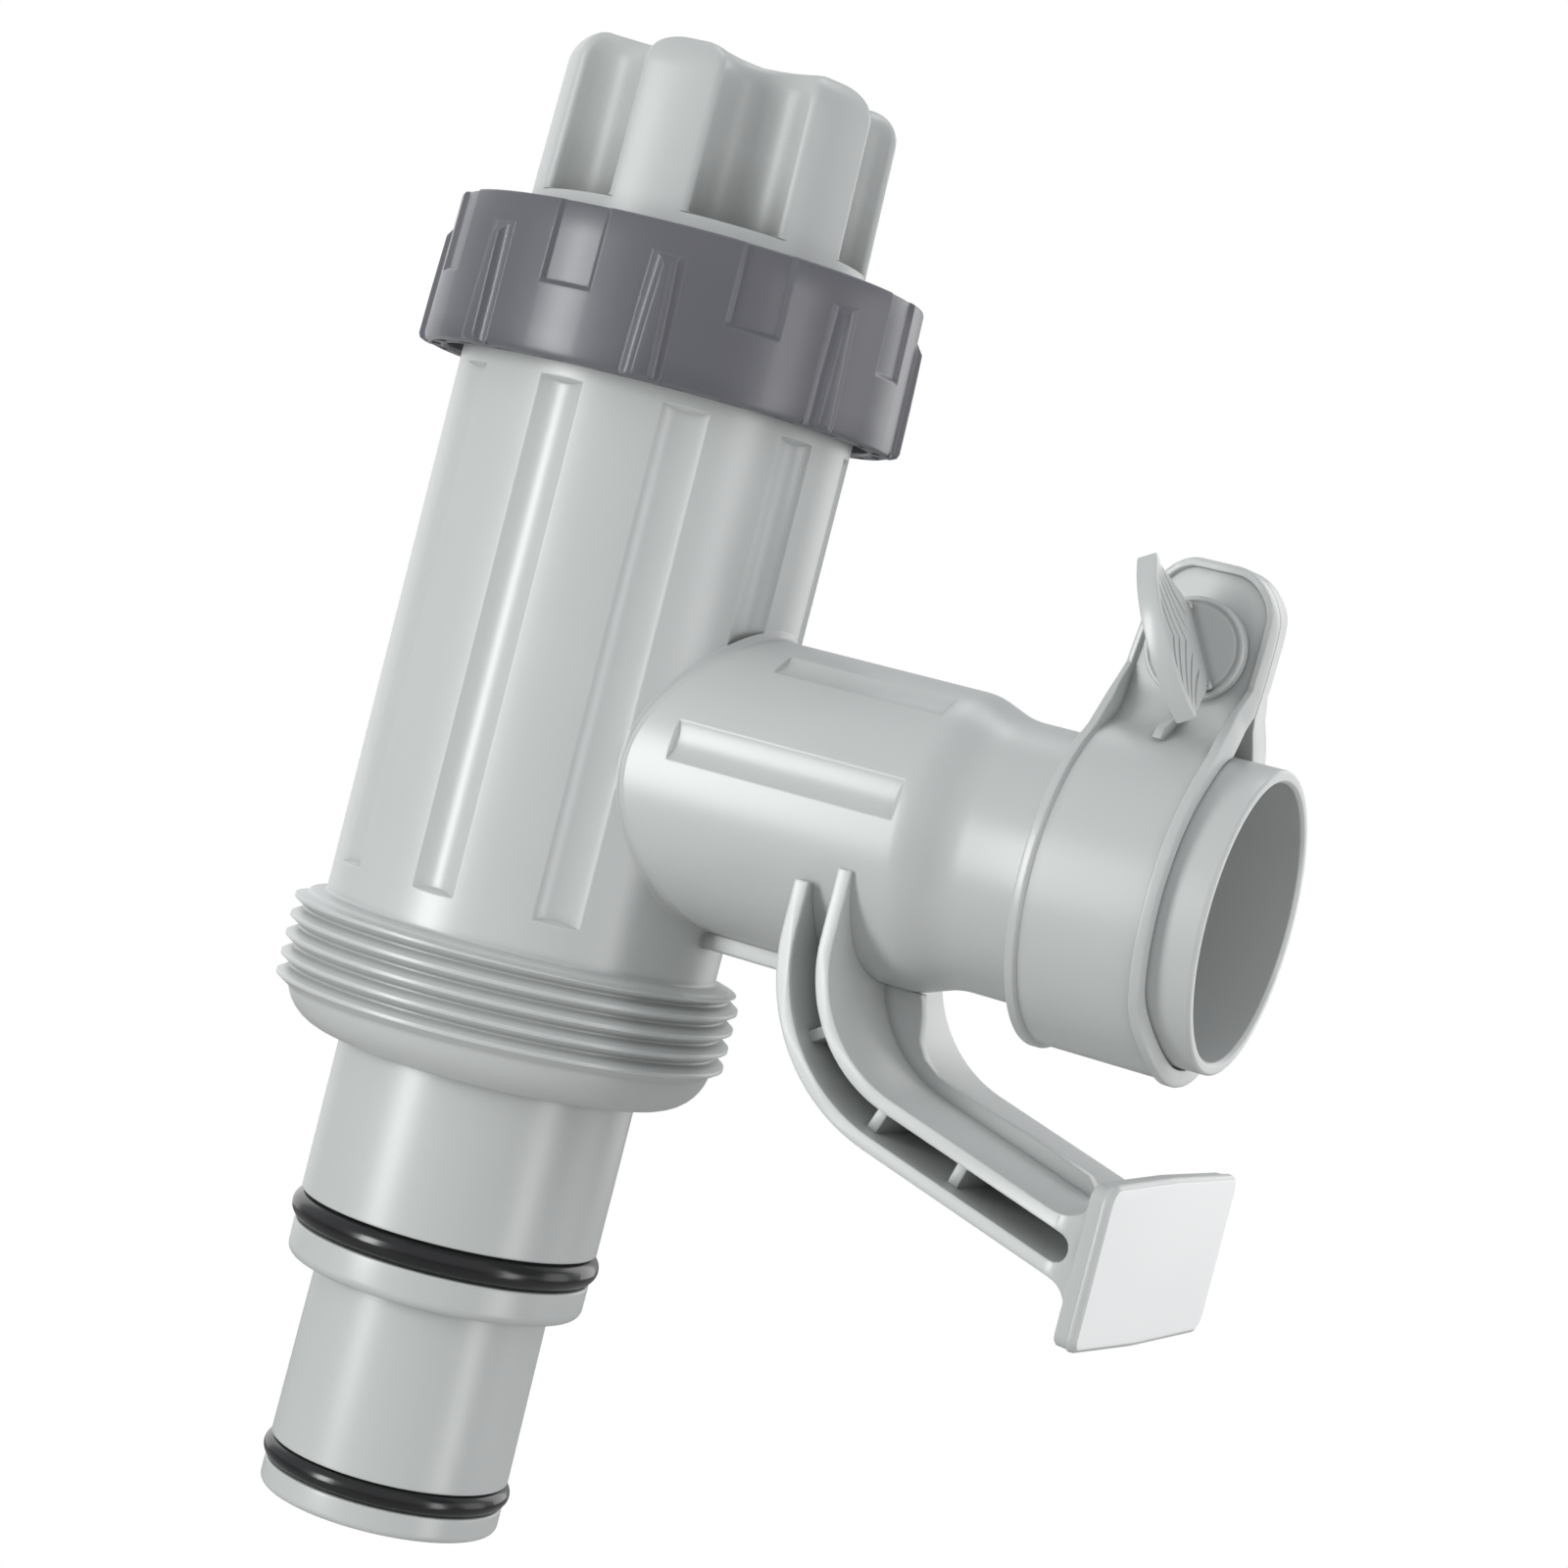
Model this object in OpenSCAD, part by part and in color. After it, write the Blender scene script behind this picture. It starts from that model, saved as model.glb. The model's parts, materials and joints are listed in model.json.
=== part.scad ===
// Pool plunger valve, closed, seen on its side outlet. Millimetres, +Z up.
// Origin: centre of the inlet end. +Z runs to the handle, +X along the outlet.

/* [Barrel] */
// Outer radius of the barrel
barrel_r = 26.3; // [24:0.1:30]
// Height where the threaded collar ends and the barrel begins
barrel_low = 77.8; // [75:0.1:81]
// Height of the barrel's top rim
barrel_top = 162.9; // [157:0.1:169]
// Radius of the bore that the piston slides in
bore_r = 23; // [20:0.1:24]
// Number of equal flute places round the barrel
flute_places = 10; // [6:1:14]
// Angle of the first flute from the outlet
flute_phase = 18; // [0:1:36]
// Width of a barrel flute
flute_wide = 6.2; // [3:0.1:9]
// Radius that a flute is scooped with
flute_scoop_r = 6; // [4:0.1:12]
// Height where the flutes start
flute_low = 82.4; // [80:0.1:92]
// Height where the flutes end
flute_high = 148.9; // [127:0.1:149.4]
// Slope of the ramps at a flute's two ends
flute_ramp = 1.25; // [0.5:0.05:2]

/* [Inlet collar] */
// Radius of the thread's roots
collar_r = 28.57; // [27:0.01:30]
// Radius of the thread's crests
collar_crest_r = 30.1; // [28.8:0.1:32]
// Distance between two crests
collar_pitch = 2.55; // [2:0.01:4]
// Number of crests
collar_crests = 5; // [3:1:6]
// Height where the collar starts
collar_low = 63.7; // [62:0.1:67]

/* [Inlet spigot] */
// Radius of the lower spigot at its top
spigot_r = 15.75; // [14:0.05:17]
// Radius of the pilot land at the inlet end
land_r = 16.06; // [14:0.02:18]
// Length of the pilot land
land_long = 3.4; // [2:0.1:7]
// Radius of the upper spigot
upper_r = 20; // [18:0.1:22]
// Height where the upper spigot starts
upper_low = 30.3; // [25:0.1:33]
// Height of the step between upper spigot and collar
upper_high = 58.7; // [52:0.1:61]
// Radius of the passage in the lower spigot
inlet_bore_r = 11.8; // [8:0.1:13]
// Radius of the chamber below the seat
chamber_r = 16.6; // [14:0.1:17]
// Height of the seat
seat_z = 62.9; // [62:0.1:65]

/* [O-rings on the spigot] */
// Section radius of the large O-ring
large_ring_r = 1.9; // [1:0.05:2.5]
// Height of the large O-ring
large_ring_z = 37; // [34:0.1:47]
// Outer radius of the large O-ring
large_ring_out = 20.75; // [19:0.05:23]
// Section radius of the small O-ring
small_ring_r = 1.5; // [1:0.05:2]
// Height of the small O-ring
small_ring_z = 5; // [4.6:0.1:11]
// Outer radius of the small O-ring
small_ring_out = 16.66; // [15:0.02:18]

/* [Outlet] */
// Height of the outlet axis
outlet_z = 104.7; // [97:0.1:115]
// Radius of the thick part of the outlet
tube_r = 19.3; // [17:0.1:21]
// Radius of the neck behind the hose seat
neck_r = 17.3; // [16:0.1:18.5]
// Radius of the hose seat
hose_r = 19; // [17:0.1:20]
// Distance of the outlet end from the barrel axis
outlet_end = 95.5; // [88:0.5:110]
// Radius of the passage in the outlet
outlet_bore_r = 15.3; // [10:0.1:16]
// Radius of the mouth
mouth_r = 17.4; // [15:0.1:18]
// Depth of the mouth
mouth_deep = 17; // [5:0.5:22]
// Angles of the tube's flutes above the horizontal
tube_flute_angles = [12, 58];
// Widths of those flutes
tube_flute_wides = [5.3, 4.5];
// Distances from the barrel axis where they start
tube_flute_starts = [23.5, 31.5];

/* [Foot bracket] */
// Half width of the two flanges
flange_half = 19; // [12:0.5:23]
// Distance from the barrel axis to the bend's centre
bend_x = 68.3; // [66:0.1:72]
// Height of the bend's centre
bend_z = 90.1; // [88:0.1:93]
// Outer radius of the outer flange's bend
bend_out_r = 23.9; // [22:0.1:25]
// Inner radius of the inner flange's bend
bend_in_r = 17; // [15:0.1:18]
// Thickness of a flange
flange_t = 1.7; // [1:0.05:2.5]
// Slope of the straight run to the foot
run_slope = 16; // [10:1:20]
// Half width of the foot plate
foot_half = 25; // [22:0.5:30]
// Lower edge of the foot plate
foot_low = 52.8; // [47:0.1:55]
// Upper edge of the foot plate
foot_high = 72.1; // [71:0.1:75]
// Thickness of the foot plate
foot_t = 3; // [2:0.1:4]
// Gap from the outlet end to the face of the foot plate
foot_gap = 0.2; // [0:0.1:3]

/* [Union nut] */
// Height of the nut's lower edge
nut_low = 150.4; // [149.7:0.1:153]
// Height of the nut's top face
nut_high = 170; // [169.5:0.1:173]
// Outer radius of the nut at its lower edge
nut_r = 31.6; // [30.5:0.1:33]
// Radius of the nut's thread bore
nut_bore_r = 28.5; // [28.2:0.05:29]
// Number of grip bars, and of recessed panels between them
nut_bars = 8; // [4:1:10]
// Width of a recessed panel
panel_wide = 6.7; // [4:0.1:9]
// Lower edge of the panels
panel_low = 159.6; // [155:0.1:165]
// Depth of the panels
panel_deep = 0.6; // [0.3:0.05:1]
// How far a grip bar stands out
bar_high = 1.05; // [0.5:0.05:1.5]

/* [Handle] */
// Radius of the handle
handle_r = 22.5; // [21:0.1:24]
// Height of the handle above the nut
handle_high = 24.5; // [22:0.1:30]
// Height of the plain ring at its foot
handle_ring = 2.6; // [1.5:0.1:5]
// Number of lobes
lobes = 6; // [5:1:8]
// Angle of one valley between two lobes
valley_phase = -48.5; // [-90:0.5:0]
// Radius of a valley
valley_r = 6.25; // [4:0.05:7]
// Depth of a valley
valley_deep = 5.5; // [2:0.1:6]
// Rounding where a valley runs out at the top
valley_round = 3; // [1:0.1:4]
// Radius of the handle's rounded top edge
handle_round = 4.8; // [3:0.1:7]

/* [Plunger] */
// Radius of the stem
stem_r = 6; // [4.5:0.1:7]
// Radius of the piston
piston_r = 22.2; // [19:0.1:22.5]
// Height of the piston
piston_high = 18; // [14:0.5:20]
// Radius of the rubber seat washer
washer_r = 20.5; // [19:0.1:22]
// Thickness of the rubber seat washer
washer_t = 3; // [2:0.1:4]
// Radius of the retaining washer
keeper_r = 11; // [8:0.1:14]
// Thickness of the retaining washer
keeper_t = 1.6; // [1:0.1:2.5]
// Radius of the piston screw's head
screw_head_r = 4.2; // [3.5:0.1:6]
// Height of the piston screw's head
screw_head_high = 2.6; // [2:0.1:4]
// Radius of the piston screw's shank
shank_r = 2; // [1.5:0.1:2.5]
// Length of the piston screw's shank
shank_long = 15; // [8:0.5:20]
// Length of each slot of the cross in the screw's head
cross_long = 4.4; // [3:0.1:5]
// Width of those slots
cross_wide = 1; // [0.6:0.1:1.2]
// Depth of those slots
cross_deep = 1.4; // [0.8:0.1:1.8]

/* [Bonnet] */
// Depth of the bonnet's skirt in the barrel
skirt_deep = 16; // [13:0.5:20]
// Wall of the skirt
skirt_wall = 5.2; // [4.5:0.1:6]
// Wall of the cap over the nut's lip
cap_wall = 3.2; // [2:0.1:4]
// Section radius of the bonnet's O-ring
bonnet_ring_r = 1.6; // [1:0.1:2]
// Depth of that O-ring below the barrel's rim
bonnet_ring_deep = 6.3; // [4:0.1:9]
// Section radius of the stem's O-ring
stem_ring_r = 1.3; // [0.8:0.1:1.5]
// Depth of that O-ring below the barrel's rim
stem_ring_deep = 6; // [4.5:0.1:9]
// Thickness of the nut's inner lip
lip_t = 3.6; // [3:0.1:5]

/* [Hose clamp] */
// Start of the band along the outlet
clamp_start = 72.8; // [71.5:0.1:76]
// Width of the band
clamp_wide = 17.2; // [12:0.1:18.5]
// Thickness of the band
clamp_t = 1.65; // [1.2:0.05:2.5]
// Gap between the band and the hose seat
clamp_gap = 0.3; // [0.1:0.05:1]
// Height of the raised lips
clamp_lip = 0.55; // [0.3:0.05:1]
// Thickness of the near ear
near_ear_t = 3.5; // [2.5:0.1:5]
// Thickness of the far ear
far_ear_t = 3; // [2.5:0.1:5]
// Height of the screw axis above the outlet axis
screw_up = 30.5; // [29:0.1:32]
// Radius of the wing screw's head
head_r = 6.3; // [5:0.1:7]
// Length of the wing
wing_long = 20.3; // [14:0.1:24]
// Turn of the wing at rest
wing_turn = -29; // [-90:1:90]

/* [Hidden] */
$fn = 96;
eps = 0.05;
skin = 0.02;
far = 200;
run_gap = 0.05;
slide_gap = 0.3;
wall = 3;
bend_mid_r = (bend_out_r + bend_in_r) / 2;
bend_steps = 18;
arc_steps = 8;
slot_half = (bend_out_r - bend_in_r) / 2 - flange_t;
foot_face = outlet_end - foot_gap;
foot_back = foot_face - foot_t;
slot_run = (foot_back - 4.1 - bend_x + bend_mid_r * sin(run_slope)) / cos(run_slope);
lip_z = nut_high - lip_t;
nut_hole_r = bore_r - 0.8;
bonnet_top = nut_high - 0.2;
skirt_low = barrel_top - skirt_deep;
skirt_r = bore_r - slide_gap;
bonnet_ring_z = barrel_top - bonnet_ring_deep;
stem_ring_z = barrel_top - stem_ring_deep;
hub_wall = 3.5;
hub_r = stem_r + hub_wall;
washer_z = seat_z + 0.9;
piston_low = washer_z + washer_t;
piston_top = piston_low + piston_high;
keeper_z = washer_z - keeper_t;
screw_head_z = keeper_z - screw_head_high;
piston_floor = 4.1;
piston_ring_r = 1.6;
piston_ring_z = piston_low + 9.8;
spindle_r = stem_r - 1.5;
handle_low = nut_high + 0.1;
handle_top = nut_high + handle_high;
stem_top = handle_top - 11;
pin_z = stem_top - 4.5;
pin_r = 1.5;
clamp_in_r = hose_r + clamp_gap;
clamp_out_r = clamp_in_r + clamp_t;
clamp_end = clamp_start + clamp_wide;
screw_x = clamp_start + clamp_wide / 2;
screw_z = outlet_z + screw_up;
screw_r = 2.4;
ear_top = screw_z + 10.9;
collar_end = barrel_low - 1.3;

module along_x(x) {
  translate([x, 0, outlet_z]) rotate([0, 90, 0]) children();
}

module along_y(x, y, z) {
  translate([x, y, z]) rotate([-90, 0, 0]) children();
}

module o_ring(outer, section, z) {
  translate([0, 0, z]) rotate_extrude() translate([outer - section, 0]) circle(r = section, $fn = 32);
}

module barrel_outside() {
  ring_in_small = small_ring_out - 2 * small_ring_r - run_gap;
  ring_in_large = large_ring_out - 2 * large_ring_r - run_gap;
  small_top = small_ring_z + small_ring_r + run_gap;
  large_low = large_ring_z - large_ring_r - run_gap;
  large_top = large_ring_z + large_ring_r + run_gap;
  shoulder = collar_r - upper_r;
  rotate_extrude() polygon(concat(
    [[0, 0], [land_r, 0], [land_r, land_long], [ring_in_small, land_long], [ring_in_small, small_top],
      [land_r, small_top], [spigot_r, upper_low], [upper_r - 1.3, upper_low],
      [upper_r - 0.1, upper_low + 1.5], [upper_r - 0.1, large_low], [ring_in_large, large_low],
      [ring_in_large, large_top], [upper_r, large_top], [upper_r, upper_high],
      [upper_r + 0.7, upper_high]],
    [for (a = [10:16:90])
      [upper_r + 0.7 + (shoulder - 0.7) * sin(a), collar_low - (collar_low - upper_high) * cos(a)]],
    [[collar_r, collar_low]],
    [for (i = [0:collar_crests - 1])
      each [[collar_r, collar_end - (collar_crests - 1 - i) * collar_pitch - collar_pitch / 2],
        [collar_crest_r, collar_end - (collar_crests - 1 - i) * collar_pitch]]],
    [[barrel_r, barrel_low], [barrel_r, nut_low + 2]],
    [for (i = [0:2]) each [[barrel_r + 0.2, nut_low + 2 + i * 3], [nut_bore_r - 0.4, nut_low + 3.5 + i * 3]]],
    [[barrel_r, nut_low + 11], [barrel_r, barrel_top], [0, barrel_top]]
  ));
}

module barrel_inside() {
  rotate_extrude() polygon([
    [0, -1], [inlet_bore_r, -1], [inlet_bore_r, large_ring_z + 4], [chamber_r, large_ring_z + 9],
    [chamber_r, seat_z + 0.8], [chamber_r + 0.8, seat_z + 0.8], [chamber_r + 2, seat_z],
    [bore_r, seat_z], [bore_r, barrel_top + 1], [0, barrel_top + 1]
  ]);
}

module outlet_outside() {
  neck_x = clamp_start - 11.3;
  along_x(0) cylinder(r = tube_r, h = neck_x - 4);
  along_x(neck_x - 4 - skin) cylinder(r1 = tube_r, r2 = neck_r, h = 4 + skin);
  along_x(neck_x - eps) cylinder(r = neck_r, h = 12);
  along_x(clamp_start - 0.3) cylinder(r = hose_r, h = outlet_end - clamp_start + 0.3);
}

module outlet_inside() {
  along_x(bore_r - 4) cylinder(r = outlet_bore_r, h = far);
  along_x(outlet_end - mouth_deep) cylinder(r = mouth_r, h = far);
}

module barrel_flutes() {
  reach = sqrt(flute_scoop_r * flute_scoop_r - flute_wide * flute_wide / 4);
  out = sqrt(barrel_r * barrel_r - flute_wide * flute_wide / 4) + reach;
  for (i = [0:flute_places - 1]) {
    angle = flute_phase + i * 360 / flute_places;
    over_tube = abs(sin(angle)) * out < tube_r && cos(angle) > 0;
    rise = over_tube ? 0 : 3 * flute_ramp;
    low = over_tube ? outlet_z : flute_low;
    high = flute_high;
    rotate([0, 0, angle]) intersection() {
      translate([out, 0, low - far / 2]) cylinder(r = flute_scoop_r, h = far);
      translate([0, flute_wide, 0]) rotate([90, 0, 0]) linear_extrude(2 * flute_wide) polygon([
        [barrel_r - 3, low + rise], [barrel_r + 3, low - rise],
        [barrel_r + 3, high + 3 * flute_ramp], [barrel_r - 3, high - 3 * flute_ramp]
      ]);
    }
  }
}

module tube_flutes() {
  flute_end = clamp_start - 17.8;
  for (i = [0:1], side = [-1, 1]) {
    half = tube_flute_wides[i] / 2;
    out = sqrt(tube_r * tube_r - half * half) + sqrt(flute_scoop_r * flute_scoop_r - half * half);
    translate([tube_flute_starts[i], side * out * cos(tube_flute_angles[i]),
      outlet_z + out * sin(tube_flute_angles[i])])
      rotate([0, 90, 0]) cylinder(r = flute_scoop_r, h = flute_end - tube_flute_starts[i]);
  }
}

module valve_body() {
  color([0.74, 0.75, 0.76])
  difference() {
    union() {
      difference() {
        barrel_outside();
        barrel_flutes();
      }
      outlet_outside();
      translate([barrel_r - 1, -1.5, outlet_z - tube_r - 2.2])
        cube([bend_x - bend_out_r - barrel_r + 1, 3, 4]);
    }
    barrel_inside();
    outlet_inside();
    tube_flutes();
  }
}

function bend_point(r, a) = [bend_x - r * cos(a), bend_z - r * sin(a)];
function run_point(r, run) = [bend_x - r * sin(run_slope) + run * cos(run_slope),
  bend_z - r * cos(run_slope) - run * sin(run_slope)];

module flange(out_r, top) {
  in_r = out_r - flange_t;
  turn = 90 - run_slope;
  translate([0, flange_half, 0]) rotate([90, 0, 0]) linear_extrude(2 * flange_half) polygon(concat(
    [[bend_x - out_r, top]],
    [for (i = [0:bend_steps]) bend_point(out_r, i * turn / bend_steps)],
    [run_point(out_r, slot_run - 1.5), run_point(in_r, slot_run - 1.5)],
    [for (i = [bend_steps:-1:0]) bend_point(in_r, i * turn / bend_steps)],
    [[bend_x - in_r, top]]
  ));
}

module foot_plate() {
  corner = 4;
  translate([foot_back, -foot_half + corner, foot_low])
    cube([foot_t, 2 * foot_half - 2 * corner, foot_high - foot_low]);
  translate([foot_back, -foot_half, foot_low + corner])
    cube([foot_t, 2 * foot_half, foot_high - foot_low - 2 * corner]);
  for (y = [-1, 1], z = [foot_low + corner, foot_high - corner])
    translate([foot_back, y * (foot_half - corner), z]) rotate([0, 90, 0]) cylinder(r = corner, h = foot_t);
}

function arc(centre, r, from, to) = [for (i = [0:arc_steps]) let (a = from + (to - from) * i / arc_steps)
  [centre[0] + r * cos(a), centre[1] + r * sin(a)]];

module foot_root() {
  upper = 4.5;
  lower = 5;
  side = flange_half + lower;
  up_x = foot_back - upper;
  up_run = (up_x - bend_x + (bend_in_r - upper) * sin(run_slope)) / cos(run_slope);
  down_x = foot_back - lower;
  down_run = (down_x - bend_x + (bend_out_r + lower) * sin(run_slope)) / cos(run_slope);
  up = run_point(bend_in_r - upper, up_run);
  down = run_point(bend_out_r + lower, down_run);
  start = slot_run - 1.5;
  fold = 270 - run_slope;
  intersection() {
    translate([0, far / 2, 0]) rotate([90, 0, 0]) linear_extrude(far) polygon(concat(
      [run_point(bend_in_r, start)], arc(up, upper, fold, 360),
      [[foot_back + skin, up[1]], [foot_back + skin, down[1]]], arc(down, lower, 0, 90 - run_slope),
      [run_point(bend_out_r, start), run_point(bend_out_r - flange_t, start)],
      arc(run_point(bend_mid_r, slot_run), slot_half, fold, fold + 180),
      [run_point(bend_in_r + flange_t, start)]
    ));
    linear_extrude(far) polygon(concat(
      [[bend_x, flange_half]], arc([down_x, side], lower, 270, 348), [[foot_back + 1, side - 1]],
      [[foot_back + 1, 1 - side]], arc([down_x, -side], lower, 12, 90), [[bend_x, -flange_half]]
    ));
  }
}

module bracket_web() {
  translate([0, 1, 0]) rotate([90, 0, 0]) linear_extrude(2) polygon([
    [bend_x - 22.2, bend_z - 3], [bend_x - 22.2, bend_z - 4 + skin], [bend_x - 11.5, bend_z - 4 + skin],
    [bend_x - 10.4, bend_z - 7.4], [bend_x - 9.9, bend_z - 10.4], [bend_x - 8.6, bend_z - 12.4],
    [bend_x - 6.4, bend_z - 13.9], [bend_x - 3.2, bend_z - 15], [bend_x + 1.4, bend_z - 16.3],
    [bend_x + 6.2, bend_z - 17.4], [bend_x + 10.8, bend_z - 18.6], [bend_x + 15.8, bend_z - 20.2],
    [bend_x + 20, bend_z - 25], [bend_x + 19.4, bend_z - 28.2],
    [bend_x - 6.1, bend_z - 21.4], [bend_x - 14.3, bend_z - 17.1],
    [bend_x - 19.3, bend_z - 11.1], [bend_x - 22, bend_z - 4]
  ]);
}

module cross_ribs() {
  rib_half = flange_half - 4;
  for (a = [20.3, 56.5]) {
    translate([bend_x, -rib_half, bend_z]) rotate([0, a, 0])
      translate([-0.7, 0, -bend_out_r + 0.4]) cube([1.4, 2 * rib_half, bend_out_r - bend_in_r - 0.8]);
  }
  translate([bend_x, -rib_half, bend_z]) rotate([0, run_slope, 0])
    translate([9.9, 0, -bend_out_r + 0.4]) cube([1.4, 2 * rib_half, bend_out_r - bend_in_r - 0.8]);
}

module foot_bracket() {
  color([0.75, 0.76, 0.77])
  difference() {
    union() {
      flange(bend_out_r, outlet_z - 8.5);
      flange(bend_in_r + flange_t, outlet_z - 5.8);
      foot_plate();
      foot_root();
      bracket_web();
      cross_ribs();
    }
    along_x(bend_x - bend_out_r - 5) cylinder(r = tube_r + skin, h = 18);
  }
}

module spigot_oring_large() {
  color([0.05, 0.05, 0.055]) o_ring(large_ring_out, large_ring_r, large_ring_z);
}

module spigot_oring_small() {
  color([0.05, 0.05, 0.055]) o_ring(small_ring_out, small_ring_r, small_ring_z);
}

module nut_bar() {
  high = nut_high - 3.8;
  intersection() {
    translate([0, 0, nut_low + 0.2]) linear_extrude(high - nut_low + 1) polygon([
      [nut_r - 1.2, -3.4], [nut_r + bar_high, -1.05], [nut_r + bar_high, 1.05], [nut_r - 1.2, 3.4]
    ]);
    translate([0, 4, 0]) rotate([90, 0, 0]) linear_extrude(8) polygon([
      [nut_r - 2, nut_low], [nut_r + bar_high - 0.5, nut_low], [nut_r + bar_high - 0.05, nut_low + 0.8],
      [nut_r + bar_high - 0.4, high - 2.3], [nut_r - 1.2, high + 1.2], [nut_r - 2, high + 1.2]
    ]);
  }
}

module union_nut() {
  color([0.4, 0.4, 0.43])
  difference() {
    union() {
      rotate_extrude() polygon([
        [nut_hole_r, nut_low], [nut_r - 0.8, nut_low], [nut_r, nut_low + 0.9],
        [nut_r - 0.5, nut_high], [nut_hole_r, nut_high]
      ]);
      for (i = [0:nut_bars - 1]) rotate([0, 0, (i + 0.5) * 360 / nut_bars]) nut_bar();
    }
    translate([0, 0, nut_low - 1]) cylinder(r = nut_bore_r, h = lip_z - nut_low + 1);
    for (i = [0:nut_bars - 1]) rotate([0, 0, i * 360 / nut_bars])
      translate([nut_r - 0.3 - panel_deep, -panel_wide / 2, panel_low]) cube([5, panel_wide, far]);
    for (i = [0:23]) rotate([0, 0, i * 15])
      translate([nut_bore_r + 0.6, -1.6, nut_low - 1]) cube([1.3, 3.2, 6]);
  }
}

module bonnet() {
  color([0.72, 0.73, 0.74])
  difference() {
    rotate_extrude() polygon([
      [stem_r + run_gap, skirt_low], [skirt_r, skirt_low],
      [skirt_r, bonnet_ring_z - bonnet_ring_r - eps],
      [skirt_r - 2 * bonnet_ring_r, bonnet_ring_z - bonnet_ring_r - eps],
      [skirt_r - 2 * bonnet_ring_r, bonnet_ring_z + bonnet_ring_r + eps],
      [skirt_r, bonnet_ring_z + bonnet_ring_r + eps],
      [skirt_r, barrel_top], [nut_bore_r - 0.7, barrel_top], [nut_bore_r - 0.7, lip_z],
      [nut_hole_r - slide_gap, lip_z], [nut_hole_r - slide_gap, bonnet_top], [stem_r + run_gap, bonnet_top]
    ]);
    rotate_extrude() polygon([
      [hub_r, skirt_low - 1], [skirt_r - skirt_wall, skirt_low - 1],
      [skirt_r - skirt_wall, barrel_top - wall], [hub_r, barrel_top - wall]
    ]);
    rotate_extrude() polygon([
      [hub_r, barrel_top + 1], [nut_hole_r - cap_wall, barrel_top + 1],
      [nut_hole_r - cap_wall, bonnet_top + 1], [hub_r, bonnet_top + 1]
    ]);
    translate([0, 0, stem_ring_z - stem_ring_r - eps]) cylinder(r = stem_r + 2 * stem_ring_r + 0.15,
      h = 2 * stem_ring_r + 2 * eps);
  }
}

module bonnet_oring() {
  color([0.05, 0.05, 0.055]) o_ring(bore_r - 0.15, bonnet_ring_r, bonnet_ring_z);
}

module stem_oring() {
  color([0.05, 0.05, 0.055]) o_ring(stem_r + 2 * stem_ring_r + 0.1, stem_ring_r, stem_ring_z);
}

module plunger_handle() {
  valley_x = handle_r - valley_deep + valley_r;
  side_top = handle_top - handle_round;
  color([0.76, 0.77, 0.78])
  difference() {
    rotate_extrude() polygon(concat(
      [[0, handle_low], [handle_r, handle_low], [handle_r, nut_high + handle_ring + 0.7],
        [handle_r - 0.4, side_top]],
      [for (a = [15:15:90]) [handle_r - 0.4 - handle_round * (1 - cos(a)), side_top + handle_round * sin(a)]],
      [[0, handle_top]]
    ));
    for (i = [0:lobes - 1]) rotate([0, 0, valley_phase + i * 360 / lobes])
      translate([valley_x, 0, 0]) rotate_extrude() polygon(concat(
        [[0, nut_high + handle_ring], [valley_r, nut_high + handle_ring]],
        [for (a = [0:18:90])
          [valley_r + valley_round * (1 - cos(a)), handle_top + valley_round * (sin(a) - 1)]],
        [[valley_r + valley_round, handle_top + 1], [0, handle_top + 1]]
      ));
    difference() {
      translate([0, 0, nut_high - 1]) cylinder(r = handle_r - valley_deep - wall + 0.3, h = handle_high - 4);
      translate([0, 0, nut_high + 1]) cylinder(r = hub_r - 1, h = far);
    }
    translate([0, 0, nut_high - 1]) cylinder(r = stem_r + skin, h = stem_top - nut_high + 1 + eps);
    along_y(0, -hub_r, pin_z) cylinder(r = pin_r + skin, h = 2 * hub_r);
  }
}

module handle_pin() {
  color([0.6, 0.6, 0.6]) along_y(0, 0.6 - hub_r, pin_z) cylinder(r = pin_r, h = 2 * hub_r - 1.2);
}

module plunger_stem() {
  shoulder_z = piston_low + piston_floor + eps;
  color([0.7, 0.71, 0.72])
  difference() {
    union() {
      translate([0, 0, shoulder_z]) cylinder(r = stem_r, h = stem_top - shoulder_z);
      translate([0, 0, washer_z]) cylinder(r = spindle_r, h = shoulder_z - washer_z + eps);
    }
    translate([0, 0, washer_z - 1]) cylinder(r = shank_r + skin, h = shank_long + 1);
    along_y(0, -far / 2, pin_z) cylinder(r = pin_r + skin, h = far);
  }
}

module piston() {
  floor_z = piston_low + piston_floor;
  groove = piston_r - 2 * piston_ring_r + 0.5;
  color([0.66, 0.67, 0.69])
  rotate_extrude() polygon([
    [spindle_r + run_gap, piston_low], [piston_r, piston_low],
    [piston_r, piston_ring_z - piston_ring_r - eps], [groove, piston_ring_z - piston_ring_r - eps],
    [groove, piston_ring_z + piston_ring_r + eps], [piston_r, piston_ring_z + piston_ring_r + eps],
    [piston_r, piston_top], [groove - 2.4, piston_top], [groove - 2.4, floor_z],
    [hub_r, floor_z], [hub_r, floor_z + 9], [stem_r + run_gap, floor_z + 9],
    [stem_r + run_gap, floor_z], [spindle_r + run_gap, floor_z]
  ]);
}

module piston_oring() {
  color([0.05, 0.05, 0.055]) o_ring(piston_r + 0.55, piston_ring_r, piston_ring_z);
}

module seat_washer() {
  color([0.06, 0.06, 0.065]) translate([0, 0, washer_z + skin]) difference() {
    cylinder(r = washer_r, h = washer_t - skin);
    translate([0, 0, -1]) cylinder(r = spindle_r + 2 * run_gap, h = washer_t + 2);
  }
}

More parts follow.
